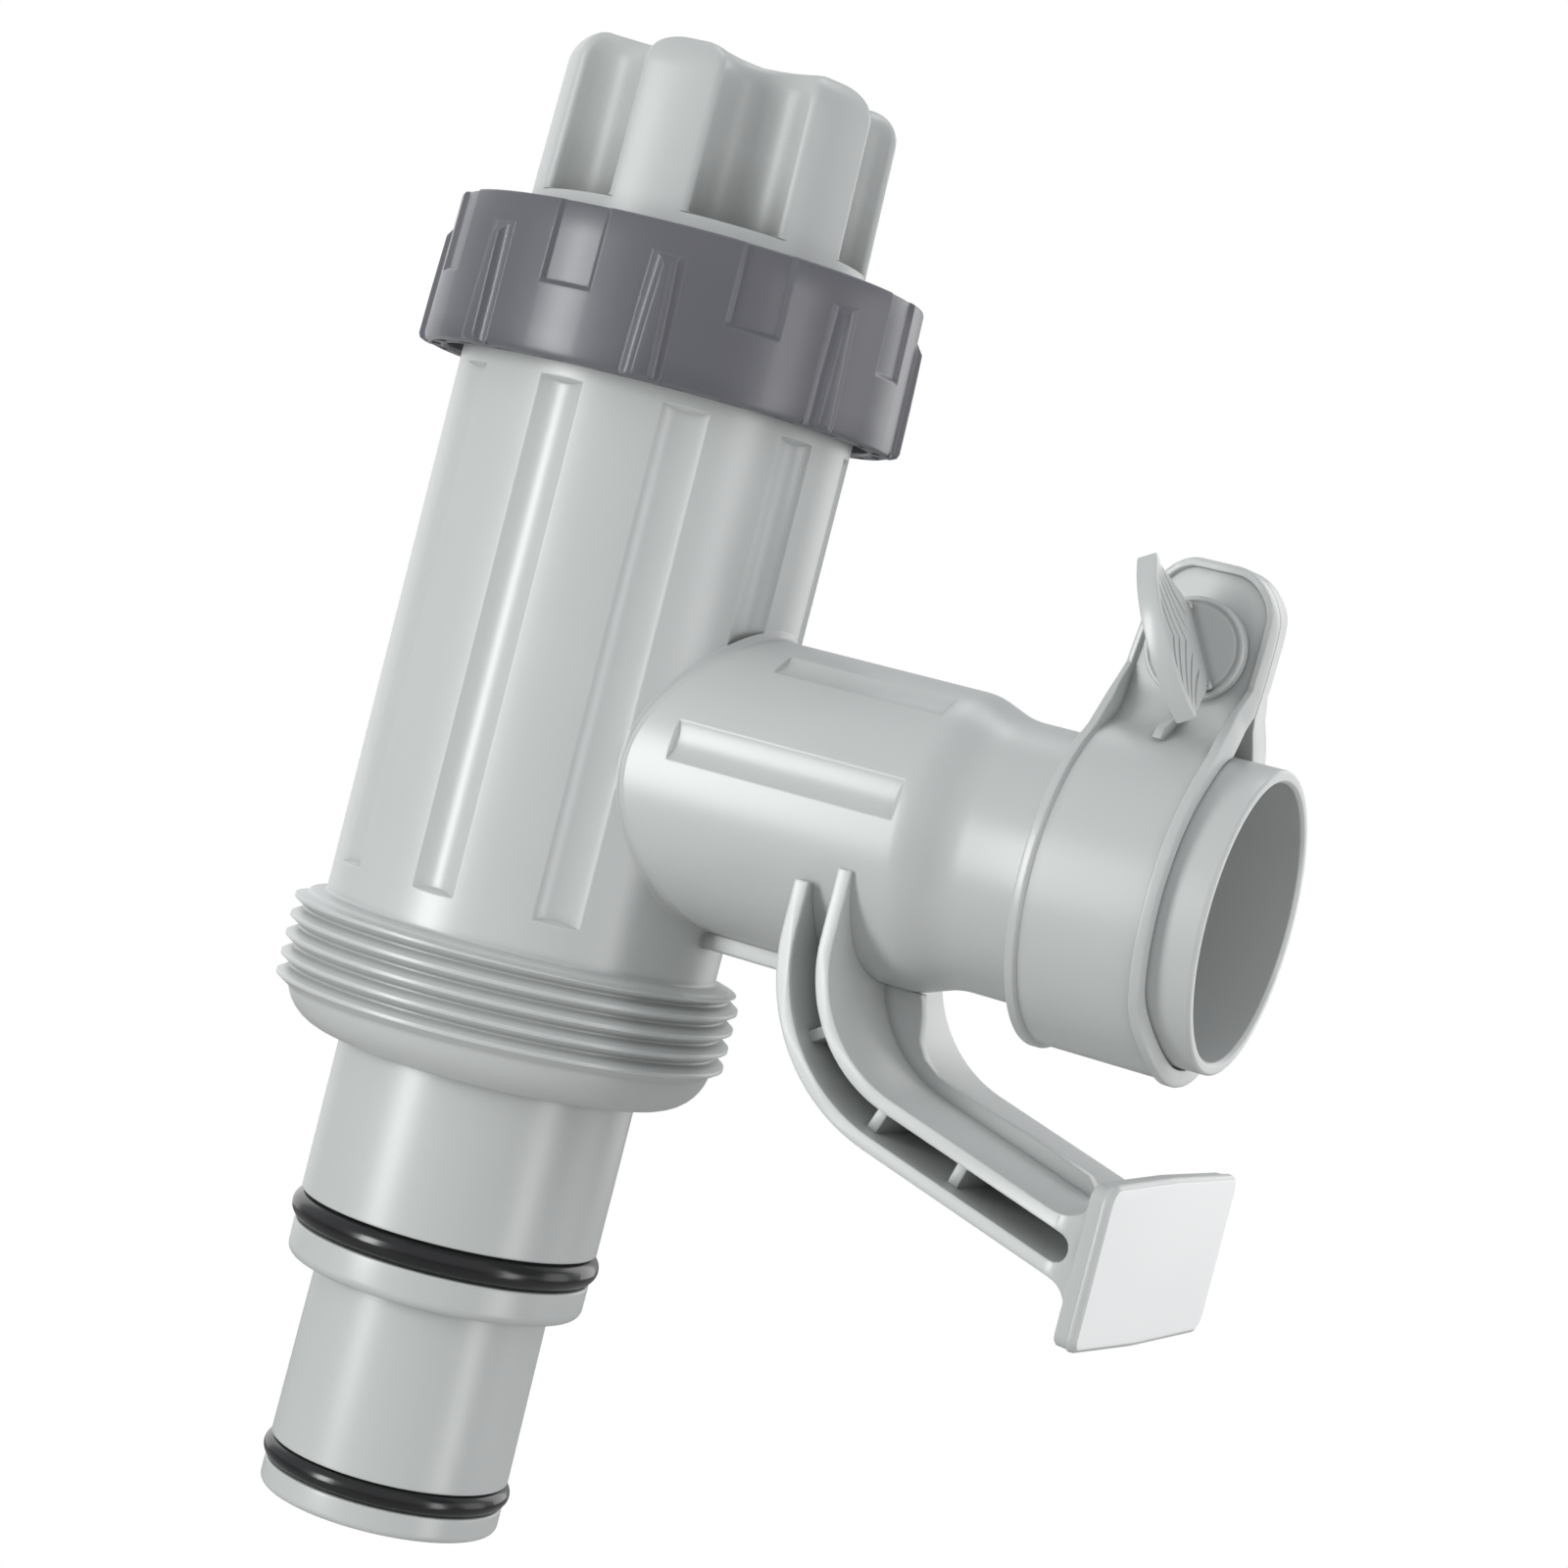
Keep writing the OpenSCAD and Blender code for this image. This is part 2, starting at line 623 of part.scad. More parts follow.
module retaining_washer() {
  color([0.62, 0.63, 0.64]) translate([0, 0, keeper_z]) difference() {
    cylinder(r = keeper_r, h = keeper_t);
    translate([0, 0, -1]) cylinder(r = shank_r + 0.2, h = keeper_t + 2);
  }
}

module piston_screw() {
  color([0.6, 0.61, 0.62]) difference() {
    union() {
      translate([0, 0, screw_head_z]) cylinder(r = screw_head_r, h = screw_head_high);
      translate([0, 0, keeper_z - 0.1]) cylinder(r = shank_r, h = shank_long);
    }
    for (a = [0, 90]) rotate([0, 0, a])
      translate([-cross_long / 2, -cross_wide / 2, screw_head_z - 1])
        cube([cross_long, cross_wide, cross_deep + 1]);
  }
}

module ear_outline(inset) {
  polygon([
    [clamp_start - 2.1 + inset, outlet_z + 12], [clamp_start - 1.2 + inset, screw_z - 9],
    [clamp_start - 0.2 + inset, screw_z - 5], [clamp_start + 0.7 + inset, screw_z + 1.7],
    [clamp_start + 1.1 + inset, screw_z + 6.5], [clamp_start + 2.4 + inset, screw_z + 8.7 - inset / 2],
    [clamp_start + 4.2 + inset / 2, screw_z + 10.1 - inset / 1.2], [clamp_start + 5.8, ear_top - inset],
    [clamp_start + 11.1, ear_top - inset], [clamp_end - 4 - inset / 2, screw_z + 9.9 - inset / 1.2],
    [clamp_end - 2.1 - inset, screw_z + 8.5 - inset / 2], [clamp_end - 0.4 - inset, screw_z + 6],
    [clamp_end - 0.1 - inset, screw_z + 2.6], [clamp_end - 0.2 - inset, screw_z - 2.3],
    [clamp_end - 0.9 - inset, screw_z - 7.3], [clamp_end - 1.7 - inset, outlet_z + 12]
  ]);
}

module clamp_half(side, ear_t) {
  low = side > 0 ? run_gap : -ear_t;
  end = side > 0 ? clamp_end - 1.6 : clamp_end;
  difference() {
    union() {
      along_x(clamp_start) cylinder(r = clamp_out_r, h = end - clamp_start);
      along_x(clamp_start) cylinder(r = clamp_out_r + clamp_lip, h = 1.5);
      along_x(end - 1.7) cylinder(r = clamp_out_r + clamp_lip, h = 1.7);
      translate([0, low + ear_t - run_gap, 0]) rotate([90, 0, 0])
        linear_extrude(ear_t - run_gap) ear_outline(0);
      translate([screw_x - 0.9, side > 0 ? ear_t - 1 : -9, outlet_z + clamp_out_r - 4])
        cube([1.8, 10 - ear_t, 4.2]);
    }
    along_x(0) cylinder(r = clamp_in_r, h = far);
    translate([0, side > 0 ? -far + run_gap : -run_gap, 0]) cube([far, far, far]);
    translate([0, 0, outlet_z]) rotate([90, 0, 90]) linear_extrude(far)
      polygon([[-4.4, clamp_in_r - 2], [4.4, clamp_in_r - 2], [0, clamp_in_r + 5]]);
    translate([0, side * (ear_t - 0.7) + (side > 0 ? 3 : 0), 0]) rotate([90, 0, 0]) linear_extrude(3)
      intersection() {
        ear_outline(1.3);
        translate([0, screw_z - 6.8]) square([far, far]);
      }
    along_y(screw_x, -far / 2, screw_z) cylinder(r = screw_r + 0.6, h = far);
  }
}

module clamp_half_far() {
  color([0.74, 0.75, 0.76]) clamp_half(1, far_ear_t);
}

module clamp_half_near() {
  color([0.75, 0.76, 0.77]) clamp_half(-1, near_ear_t);
}

module wing_screw() {
  face = -near_ear_t - 1.5;
  half = wing_long / 2;
  color([0.76, 0.77, 0.78]) {
    along_y(screw_x, face, screw_z) cylinder(r = head_r, h = 2.2 - run_gap);
    along_y(screw_x, face + 1, screw_z) cylinder(r = screw_r, h = near_ear_t + far_ear_t + 5.5);
    translate([screw_x, face, screw_z]) rotate([0, wing_turn, 0]) rotate([0, 90, 0]) translate([0, 0, -1])
      linear_extrude(2) polygon([
        [-4.8, 0.3], [-5.2, -1.5], [-half + 1, -4], [-half, -6.2], [-half, -9.2], [-half + 1.6, -11.4],
        [-half + 3.6, -12], [half - 3.6, -12], [half - 1.6, -11.4], [half, -9.2],
        [half, -6.2], [half - 1, -4], [5.2, -1.5], [4.8, 0.3]
      ]);
  }
}

module clamp_nut() {
  color([0.62, 0.63, 0.65]) along_y(screw_x, far_ear_t - 0.65, screw_z) difference() {
    rotate([0, 0, 30]) linear_extrude(4) circle(r = 4.6, $fn = 6);
    translate([0, 0, -1]) cylinder(r = screw_r + 0.5, h = 6);
  }
}

valve_body();
foot_bracket();
spigot_oring_large();
spigot_oring_small();
union_nut();
bonnet();
bonnet_oring();
stem_oring();
plunger_handle();
handle_pin();
plunger_stem();
piston();
piston_oring();
seat_washer();
retaining_washer();
piston_screw();
clamp_half_far();
clamp_half_near();
wing_screw();
clamp_nut();
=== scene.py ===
# Pool plunger valve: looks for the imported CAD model. Sizes are in millimetres until a mesh is made.
import json
import math
import bmesh
import bpy
from mathutils import Matrix, Vector


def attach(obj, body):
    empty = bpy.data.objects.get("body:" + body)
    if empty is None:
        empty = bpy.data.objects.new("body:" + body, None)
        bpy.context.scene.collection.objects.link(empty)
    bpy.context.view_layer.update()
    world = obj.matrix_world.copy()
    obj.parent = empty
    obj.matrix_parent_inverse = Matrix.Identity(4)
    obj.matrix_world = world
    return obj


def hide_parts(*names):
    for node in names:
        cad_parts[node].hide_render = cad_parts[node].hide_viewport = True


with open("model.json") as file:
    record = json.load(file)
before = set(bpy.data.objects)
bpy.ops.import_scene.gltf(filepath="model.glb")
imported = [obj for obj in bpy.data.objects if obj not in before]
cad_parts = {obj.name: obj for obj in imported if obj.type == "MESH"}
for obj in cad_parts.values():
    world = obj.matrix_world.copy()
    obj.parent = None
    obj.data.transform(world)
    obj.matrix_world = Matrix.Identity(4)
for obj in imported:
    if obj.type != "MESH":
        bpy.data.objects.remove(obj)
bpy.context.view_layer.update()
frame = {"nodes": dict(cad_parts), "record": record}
mm = 0.001
weld = 1e-7
scene = bpy.context.scene
print("frame loaded:", len(frame["nodes"]), "nodes")


# camera
cameraSet = {"lens": 78.75, "sensor": 36.0, "clip": (0.01, 20), "azimuth": 24.208, "elevation": 1.940,
             "roll": 14.360, "distance": 451.686, "aside": 28.549, "height": 105.796}


def aimed(place, x, y, z):
    return Matrix.Translation(place * mm) @ Matrix((x, y, z)).transposed().to_4x4()


def viewAxes(s):
    az, el, roll = (math.radians(s[k]) for k in ("azimuth", "elevation", "roll"))
    right = Vector((math.cos(az), math.sin(az), 0))
    back = Vector((math.sin(az) * math.cos(el), -math.cos(az) * math.cos(el), math.sin(el)))
    up = back.cross(right)
    x = math.cos(roll) * right + math.sin(roll) * up
    y = -math.sin(roll) * right + math.cos(roll) * up
    return x, y, back, right


def makeCamera(s):
    x, y, back, right = viewAxes(s)
    target = right * s["aside"] + Vector((0, 0, s["height"]))
    data = bpy.data.cameras.new("camera")
    data.lens, data.sensor_width, data.sensor_fit = s["lens"], s["sensor"], "HORIZONTAL"
    data.clip_start, data.clip_end = s["clip"]
    cam = bpy.data.objects.new("camera", data)
    cam.matrix_world = aimed(target + back * s["distance"], x, y, back)
    scene.collection.objects.link(cam)
    scene.camera = cam
    return target


aimPoint = makeCamera(cameraSet)
print("camera placed")


# mesh helpers
def linkMesh(name, mesh):
    obj = bpy.data.objects.new(name, mesh)
    scene.collection.objects.link(obj)
    return obj


def smoothMesh(mesh, angle):
    mesh.polygons.foreach_set("use_smooth", [True] * len(mesh.polygons))
    mesh.set_sharp_from_angle(angle=math.radians(angle))
    mesh.update()


def pieceFrom(name, bm, angle=30):
    bmesh.ops.remove_doubles(bm, verts=bm.verts, dist=weld)
    bmesh.ops.recalc_face_normals(bm, faces=bm.faces)
    mesh = bpy.data.meshes.new(name)
    bm.to_mesh(mesh)
    bm.free()
    smoothMesh(mesh, angle)
    return linkMesh(name, mesh)


def skin(bm, rings, loop=False, caps=False):
    rows = [[bm.verts.new([c * mm for c in p]) for p in ring] for ring in rings]
    count = len(rows[0])
    for low, high in list(zip(rows, rows[1:])) + ([(rows[-1], rows[0])] if loop else []):
        for i in range(count):
            j = (i + 1) % count
            bm.faces.new((low[i], low[j], high[j], high[i]))
    if caps:
        bm.faces.new(rows[0])
        bm.faces.new(rows[-1])


def skinned(name, rings, angle=30, loop=False, caps=True):
    bm = bmesh.new()
    skin(bm, rings, loop, caps)
    return pieceFrom(name, bm, angle)


def ringSteps(count):
    return [2 * math.pi * i / count for i in range(count)]


def spun(x, y, angle):
    return x * math.cos(angle) - y * math.sin(angle), x * math.sin(angle) + y * math.cos(angle)


# a profile of radius and height turned about z, or about the outlet's axis at the height axisX
def turned(name, profile, steps, angle=30, axisX=None):
    rings = []
    for r, z in profile:
        turn = [(r * math.cos(a), r * math.sin(a)) for a in ringSteps(steps)]
        rings.append([(x, y, z) if axisX is None else (z, x, axisX + y) for x, y in turn])
    return skinned(name, rings, angle, caps=False)


# each corner is a point and the radius of its fillet
def rounded(corners, steps):
    out = []
    for i, corner in enumerate(corners):
        a, p, b = (Vector(corners[j % len(corners)][:2]) for j in (i - 1, i, i + 1))
        rad = corner[2]
        if rad <= 0:
            out.append(tuple(p))
            continue
        u, v = (a - p).normalized(), (b - p).normalized()
        half = u.angle(v) / 2
        reach = rad / math.tan(half)
        centre = p + (u + v).normalized() * (rad / math.sin(half))
        start, end = p + u * reach - centre, p + v * reach - centre
        out += [tuple(centre + start.lerp(end, k / steps).normalized() * rad) for k in range(steps + 1)]
    return out


def applied(obj):
    graph = bpy.context.evaluated_depsgraph_get()
    mesh = bpy.data.meshes.new_from_object(obj.evaluated_get(graph))
    obj.modifiers.clear()
    obj.data = mesh
    return obj


def cut(obj, cutter, operation="DIFFERENCE"):
    mod = obj.modifiers.new("cut", "BOOLEAN")
    mod.object, mod.operation, mod.solver = cutter, operation, "EXACT"
    applied(obj)
    bpy.data.objects.remove(cutter)


def joined(name, parts):
    bm = bmesh.new()
    for part in parts:
        bm.from_mesh(part.data)
        bpy.data.objects.remove(part)
    mesh = bpy.data.meshes.new(name)
    bm.to_mesh(mesh)
    bm.free()
    return linkMesh(name, mesh)


# node helpers: an input takes a value, or the output that feeds it
def feed(tree, socket, value):
    if isinstance(value, bpy.types.NodeSocket):
        tree.links.new(value, socket)
    else:
        socket.default_value = value


def addNode(tree, kind, inputs=None, **fields):
    node = tree.nodes.new(kind)
    for key, value in fields.items():
        setattr(node, key, value)
    for key, value in (inputs or {}).items():
        feed(tree, node.inputs[key], value)
    return node


def math2(tree, operation, a, b):
    return addNode(tree, "ShaderNodeMath", {0: a, 1: b}, operation=operation).outputs[0]


def mixed(tree, share, low, high, blend="MIX"):
    return addNode(tree, "ShaderNodeMix", {0: share, 6: low, 7: high}, data_type="RGBA",
                   blend_type=blend).outputs[2]


def mapped(tree, value, start=(0.0, 1.0), end=(0.0, 1.0), curve="LINEAR"):
    return addNode(tree, "ShaderNodeMapRange", {
        "Value": value, "From Min": start[0], "From Max": start[1], "To Min": end[0], "To Max": end[1]},
        interpolation_type=curve).outputs["Result"]


def clearedTree(owner):
    owner.use_nodes = True
    owner.node_tree.nodes.clear()
    return owner.node_tree


# shader groups
grainSet = {"detail": 3, "mottleDetail": 4, "distortion": 0.6}
edgeSet = {"samples": 6, "bend": (0.995, 0.8), "open": (0.62, 0.9)}


def newGroup(name, inputs, outputs):
    tree = bpy.data.node_groups.new(name, "ShaderNodeTree")
    for socket in inputs:
        tree.interface.new_socket(socket, in_out="INPUT", socket_type="NodeSocketFloat")
    for socket, kind in outputs:
        tree.interface.new_socket(socket, in_out="OUTPUT", socket_type=kind)
    return tree, tree.nodes.new("NodeGroupInput").outputs, tree.nodes.new("NodeGroupOutput").inputs


def makeGrainGroup(s):
    tree, start, end = newGroup("mouldGrain", ("Grain Scale", "Mottle Scale"),
                                (("Height", "NodeSocketFloat"), ("Mottle", "NodeSocketFloat")))
    coords = addNode(tree, "ShaderNodeTexCoord").outputs["Object"]
    grain = addNode(tree, "ShaderNodeTexNoise", {"Vector": coords, "Scale": start["Grain Scale"],
                                                 "Detail": s["detail"]})
    mottle = addNode(tree, "ShaderNodeTexNoise", {"Vector": coords, "Scale": start["Mottle Scale"],
                                                  "Detail": s["mottleDetail"], "Distortion": s["distortion"]})
    feed(tree, end["Height"], grain.outputs["Fac"])
    feed(tree, end["Mottle"], mottle.outputs["Fac"])
    return tree


# bevel normal for soft edges, an edge mask that paints a highlight on convex edges, and an ambient occlusion mask
# that paints shade into creases
def makeEdgeGroup(s):
    tree, start, end = newGroup("softEdge", ("Radius", "Reach"), (
        ("Normal", "NodeSocketVector"), ("Edge", "NodeSocketFloat"), ("Open", "NodeSocketFloat")))
    bevel = addNode(tree, "ShaderNodeBevel", {"Radius": start["Radius"]}, samples=s["samples"])
    flat = addNode(tree, "ShaderNodeNewGeometry")
    dot = addNode(tree, "ShaderNodeVectorMath", {0: bevel.outputs["Normal"], 1: flat.outputs["Normal"]},
                  operation="DOT_PRODUCT")
    hollow = addNode(tree, "ShaderNodeAmbientOcclusion", {"Distance": start["Reach"]}, samples=s["samples"],
                     only_local=True)
    clear = mapped(tree, hollow.outputs["AO"], s["open"])
    feed(tree, end["Normal"], bevel.outputs["Normal"])
    feed(tree, end["Edge"], math2(tree, "MULTIPLY", clear, mapped(tree, dot.outputs["Value"], s["bend"])))
    feed(tree, end["Open"], clear)
    return tree


grainGroup = makeGrainGroup(grainSet)
edgeGroup = makeEdgeGroup(edgeSet)


def finish(name, look):
    mat = bpy.data.materials.new(name)
    tree = clearedTree(mat)
    low, high, edgeHighlightTone, paintedCreaseShade = ((*look[k], 1) for k in ("low", "high", "edge", "paintedCreaseShade"))
    grain = addNode(tree, "ShaderNodeGroup", {"Grain Scale": look["grainScale"],
                                              "Mottle Scale": look["mottleScale"]}, node_tree=grainGroup).outputs
    edge = addNode(tree, "ShaderNodeGroup", {"Radius": look["edgeRadius"] * mm, "Reach": look["reach"] * mm},
                   node_tree=edgeGroup).outputs
    tone = mixed(tree, grain["Mottle"], low, high)
    # painted highlight: a lighter tone mixed into the colour along convex edges
    paintedEdgeHighlight = mixed(tree, math2(tree, "MULTIPLY", edge["Edge"], look["edgeHighlightShare"]), tone, edgeHighlightTone)
    # painted shade: the colour is multiplied darker where ambient occlusion finds close surfaces, in creases and
    # hollows
    shade = mixed(tree, math2(tree, "SUBTRACT", 1.0, edge["Open"]), paintedEdgeHighlight, paintedCreaseShade, "MULTIPLY")
    bump = addNode(tree, "ShaderNodeBump", {"Strength": look["bump"], "Distance": look["bumpDeep"] * mm,
                                            "Height": grain["Height"], "Normal": edge["Normal"]})
    shader = addNode(tree, "ShaderNodeBsdfPrincipled", {
        "Base Color": shade, "Metallic": look["metal"], "Specular IOR Level": look["specular"],
        "Roughness": mapped(tree, grain["Mottle"], end=look["rough"]), "Normal": bump.outputs["Normal"]})
    addNode(tree, "ShaderNodeOutputMaterial", {"Surface": shader.outputs[0]})
    return mat


# the edge tone, by its share, paints a highlight along convex edges; the crease tone paints shade into hollows
bodyLook = {"low": (0.545, 0.562, 0.555), "high": (0.60, 0.617, 0.61), "edge": (0.86, 0.87, 0.86),
            "edgeHighlightShare": 0.7, "rough": (0.31, 0.37), "bump": 0.1, "bumpDeep": 0.03, "grainScale": 1100,
            "mottleScale": 30, "paintedCreaseShade": (0.68, 0.68, 0.68), "reach": 1.3, "edgeRadius": 0.35, "specular": 1.0,
            "metal": 0}
nutLook = dict(bodyLook, low=(0.105, 0.105, 0.125), high=(0.13, 0.13, 0.15), edge=(0.34, 0.34, 0.38),
               edgeHighlightShare=0.6, rough=(0.30, 0.38), specular=0.8)
rubberLook = dict(bodyLook, low=(0.006, 0.006, 0.007), high=(0.010, 0.010, 0.011), edge=(0.02, 0.02, 0.02),
                  edgeHighlightShare=0.2, rough=(0.16, 0.26), specular=0.6, bump=0.08)
steelLook = dict(bodyLook, low=(0.5, 0.5, 0.5), high=(0.6, 0.6, 0.6), metal=1.0, rough=(0.22, 0.34))
padLook = dict(bodyLook, low=(0.95, 0.955, 0.955), high=(0.97, 0.975, 0.975), edge=(0.97, 0.98, 0.98),
               rough=(0.5, 0.56), specular=0.6, paintedCreaseShade=(1.0, 1.0, 1.0))
innerLook = dict(bodyLook, low=(0.50, 0.51, 0.52), high=(0.56, 0.57, 0.58))
# the handle's dark crease tone over a 10 mm occlusion reach paints shade into its valleys
handleLook = dict(bodyLook, rough=(0.34, 0.40), specular=0.6, edgeRadius=0.4, paintedCreaseShade=(0.40, 0.40, 0.40),
                  reach=10.0)
finishes = {"body_plastic": finish("greyPlastic", bodyLook), "nut_plastic": finish("darkPlastic", nutLook),
            "inner_plastic": finish("innerPlastic", innerLook), "seal_rubber": finish("blackRubber", rubberLook),
            "steel": finish("brushedSteel", steelLook)}
padFinish, handleFinish = finish("padPlastic", padLook), finish("handlePlastic", handleLook)
print("finishes made")


def dress(obj, slotName, body=None, replaced=()):
    obj.data.materials.clear()
    obj.data.materials.append(finishes[slotName])
    if body:
        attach(obj, body)
    if replaced:
        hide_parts(*replaced)


# stage
stageSet = {"floor": -260.0, "wide": 6000.0, "seen": (1.0, 1.0, 1.0), "reflected": (0.4, 0.4, 0.4)}


# the camera sees one shader and all other rays meet the other
def seenApart(tree, kind, unseen, seen):
    path = addNode(tree, "ShaderNodeLightPath")
    mix = addNode(tree, "ShaderNodeMixShader", {0: path.outputs["Is Camera Ray"], 1: unseen.outputs[0],
                                                2: seen.outputs[0]})
    addNode(tree, kind, {"Surface": mix.outputs[0]})


def makeStage(s):
    bm = bmesh.new()
    half = s["wide"] / 2
    corners = [(-half, -half), (half, -half), (half, half), (-half, half)]
    bm.faces.new([bm.verts.new((x * mm, y * mm, s["floor"] * mm)) for x, y in corners])
    mesh = bpy.data.meshes.new("paleFloor")
    bm.to_mesh(mesh)
    bm.free()
    floor = linkMesh("paleFloor", mesh)
    mat = bpy.data.materials.new("paleFloor")
    tree = clearedTree(mat)
    matte = addNode(tree, "ShaderNodeBsdfDiffuse", {"Color": (*s["reflected"], 1)})
    glow = addNode(tree, "ShaderNodeEmission", {"Color": (*s["seen"], 1)})
    seenApart(tree, "ShaderNodeOutputMaterial", matte, glow)
    mesh.materials.append(mat)


worldSet = {"seen": (1.0, 1.0, 1.0), "seenPower": 1.0, "tint": (0.97, 0.985, 1.0), "between": (-0.35, 0.3),
            "powers": (0.27, 0.60)}


def makeWorld(s):
    world = bpy.data.worlds.new("studio")
    tree = clearedTree(world)
    coords = addNode(tree, "ShaderNodeTexCoord")
    split = addNode(tree, "ShaderNodeSeparateXYZ", {0: coords.outputs["Generated"]})
    level = mapped(tree, split.outputs["Z"], s["between"], s["powers"], "SMOOTHSTEP")
    fill = addNode(tree, "ShaderNodeBackground", {"Color": (*s["tint"], 1), "Strength": level})
    seen = addNode(tree, "ShaderNodeBackground", {"Color": (*s["seen"], 1), "Strength": s["seenPower"]})
    seenApart(tree, "ShaderNodeOutputWorld", fill, seen)
    scene.world = world
    scene.view_settings.view_transform = "Standard"


lampFar = 700
white = (1.0, 1.0, 1.0)
lightSet = {
    "keyLeft": {"azimuth": -118, "height": 1, "size": (170, 460), "power": 2.6, "tint": (0.98, 1.0, 0.99)},
    "stripRight": {"azimuth": -10, "height": -7, "size": (150, 680), "power": 1.35, "tint": white},
    "sideRight": {"azimuth": 32, "height": 2, "size": (330, 520), "power": 0.55, "tint": white},
    "topSoft": {"azimuth": 95, "height": 66, "size": (360, 220), "power": 0.6, "tint": white},
    "rimLeft": {"azimuth": 146, "height": 6, "size": (470, 600), "power": 0.6, "tint": (1.0, 0.99, 1.0)},
    "rimRight": {"azimuth": 76, "height": 10, "size": (380, 600), "power": 0.9, "tint": (1.0, 1.0, 0.99)},
}


def makeLights(lights):
    for name, s in lights.items():
        turn, lift = math.radians(s["azimuth"]), math.radians(s["height"])
        way = Vector((math.cos(lift) * math.cos(turn), math.cos(lift) * math.sin(turn), math.sin(lift)))
        side = Vector((-math.sin(turn), math.cos(turn), 0))
        data = bpy.data.lights.new(name, "AREA")
        data.shape, data.size, data.size_y = "RECTANGLE", s["size"][0] * mm, s["size"][1] * mm
        data.energy, data.color = s["power"], s["tint"]
        lamp = bpy.data.objects.new(name, data)
        lamp.visible_camera = False
        lamp.matrix_world = aimed(aimPoint + way * lampFar, side, way.cross(side), way)
        scene.collection.objects.link(lamp)


makeStage(stageSet)
makeWorld(worldSet)
makeLights(lightSet)
print("stage, world and lights made")


slotOf = {part["node"]: part["material_slot"] for part in frame["record"]["subparts"]}
for name, obj in frame["nodes"].items():
    dress(obj, slotOf[name])


# geometry nodes
def newShapeTree(name, inputs):
    tree = bpy.data.node_groups.new(name, "GeometryNodeTree")
    for socket, kind in [("Geometry", "Geometry")] + inputs + [("Material", "Material")]:
        tree.interface.new_socket(socket, in_out="INPUT", socket_type="NodeSocket" + kind)
    tree.interface.new_socket("Geometry", in_out="OUTPUT", socket_type="NodeSocketGeometry")
    return tree, tree.nodes.new("NodeGroupInput").outputs


def closedTree(tree, start, shape):
    real = addNode(tree, "GeometryNodeRealizeInstances", {0: shape})
    paint = addNode(tree, "GeometryNodeSetMaterial", {"Geometry": real.outputs[0],
                                                      "Material": start["Material"]})
    addNode(tree, "NodeGroupOutput", {0: paint.outputs[0]})
    return tree


def makeRingTree():
    tree, start = newShapeTree("ringOfCopies", [("Count", "Int"), ("First Angle", "Float")])
    points = addNode(tree, "GeometryNodeMeshLine", {"Count": start["Count"], "Offset": (0, 0, 0)})
    index = addNode(tree, "GeometryNodeInputIndex")
    step = math2(tree, "DIVIDE", 2 * math.pi, start["Count"])
    angle = math2(tree, "ADD", math2(tree, "MULTIPLY", index.outputs[0], step), start["First Angle"])
    turn = addNode(tree, "ShaderNodeCombineXYZ", {"Z": angle})
    copies = addNode(tree, "GeometryNodeInstanceOnPoints", {
        "Points": points.outputs[0], "Instance": start["Geometry"], "Rotation": turn.outputs[0]})
    return closedTree(tree, start, copies.outputs[0])


helixSet = {"resolution": 128, "endScale": 0.05}


# a right-hand helix whose section swells from its ends
def makeHelixTree(s):
    sizes = ("Radius", "Pitch", "Turns", "Root Width", "Crest Width", "Ridge", "Run Out")
    tree, start = newShapeTree("threadRidge", [(size, "Float") for size in sizes])
    coil = addNode(tree, "GeometryNodeCurveSpiral", {
        "Resolution": s["resolution"], "Reverse": True, "Rotations": start["Turns"],
        "Start Radius": start["Radius"], "End Radius": start["Radius"],
        "Height": math2(tree, "MULTIPLY", start["Pitch"], start["Turns"])})
    upright = addNode(tree, "GeometryNodeSetCurveNormal", {"Curve": coil.outputs[0]}, mode="Z_UP")
    along = addNode(tree, "GeometryNodeSplineParameter").outputs["Factor"]
    ends = math2(tree, "MINIMUM", along, math2(tree, "SUBTRACT", 1.0, along))
    swell = mapped(tree, ends, (0.0, start["Run Out"]), (s["endScale"], 1.0), "SMOOTHSTEP")
    section = addNode(tree, "GeometryNodeCurvePrimitiveQuadrilateral", {
        "Offset": 0, "Bottom Width": start["Root Width"], "Top Width": start["Crest Width"],
        "Height": math2(tree, "MULTIPLY", start["Ridge"], 2.0)}, mode="TRAPEZOID")
    outward = addNode(tree, "GeometryNodeTransform", {"Geometry": section.outputs[0],
                                                      "Rotation": (0, 0, -math.pi / 2)})
    sweep = addNode(tree, "GeometryNodeCurveToMesh", {
        "Curve": upright.outputs[0], "Profile Curve": outward.outputs[0], "Scale": swell, "Fill Caps": True})
    return closedTree(tree, start, sweep.outputs[0])


def shaped(obj, tree, values):
    mod = obj.modifiers.new(tree.name, "NODES")
    mod.node_group = tree
    for item in tree.interface.items_tree:
        if item.item_type == "SOCKET" and item.in_out == "INPUT" and item.name in values:
            mod[item.identifier] = values[item.name]
    return applied(obj)


ringTree = makeRingTree()
helixTree = makeHelixTree(helixSet)


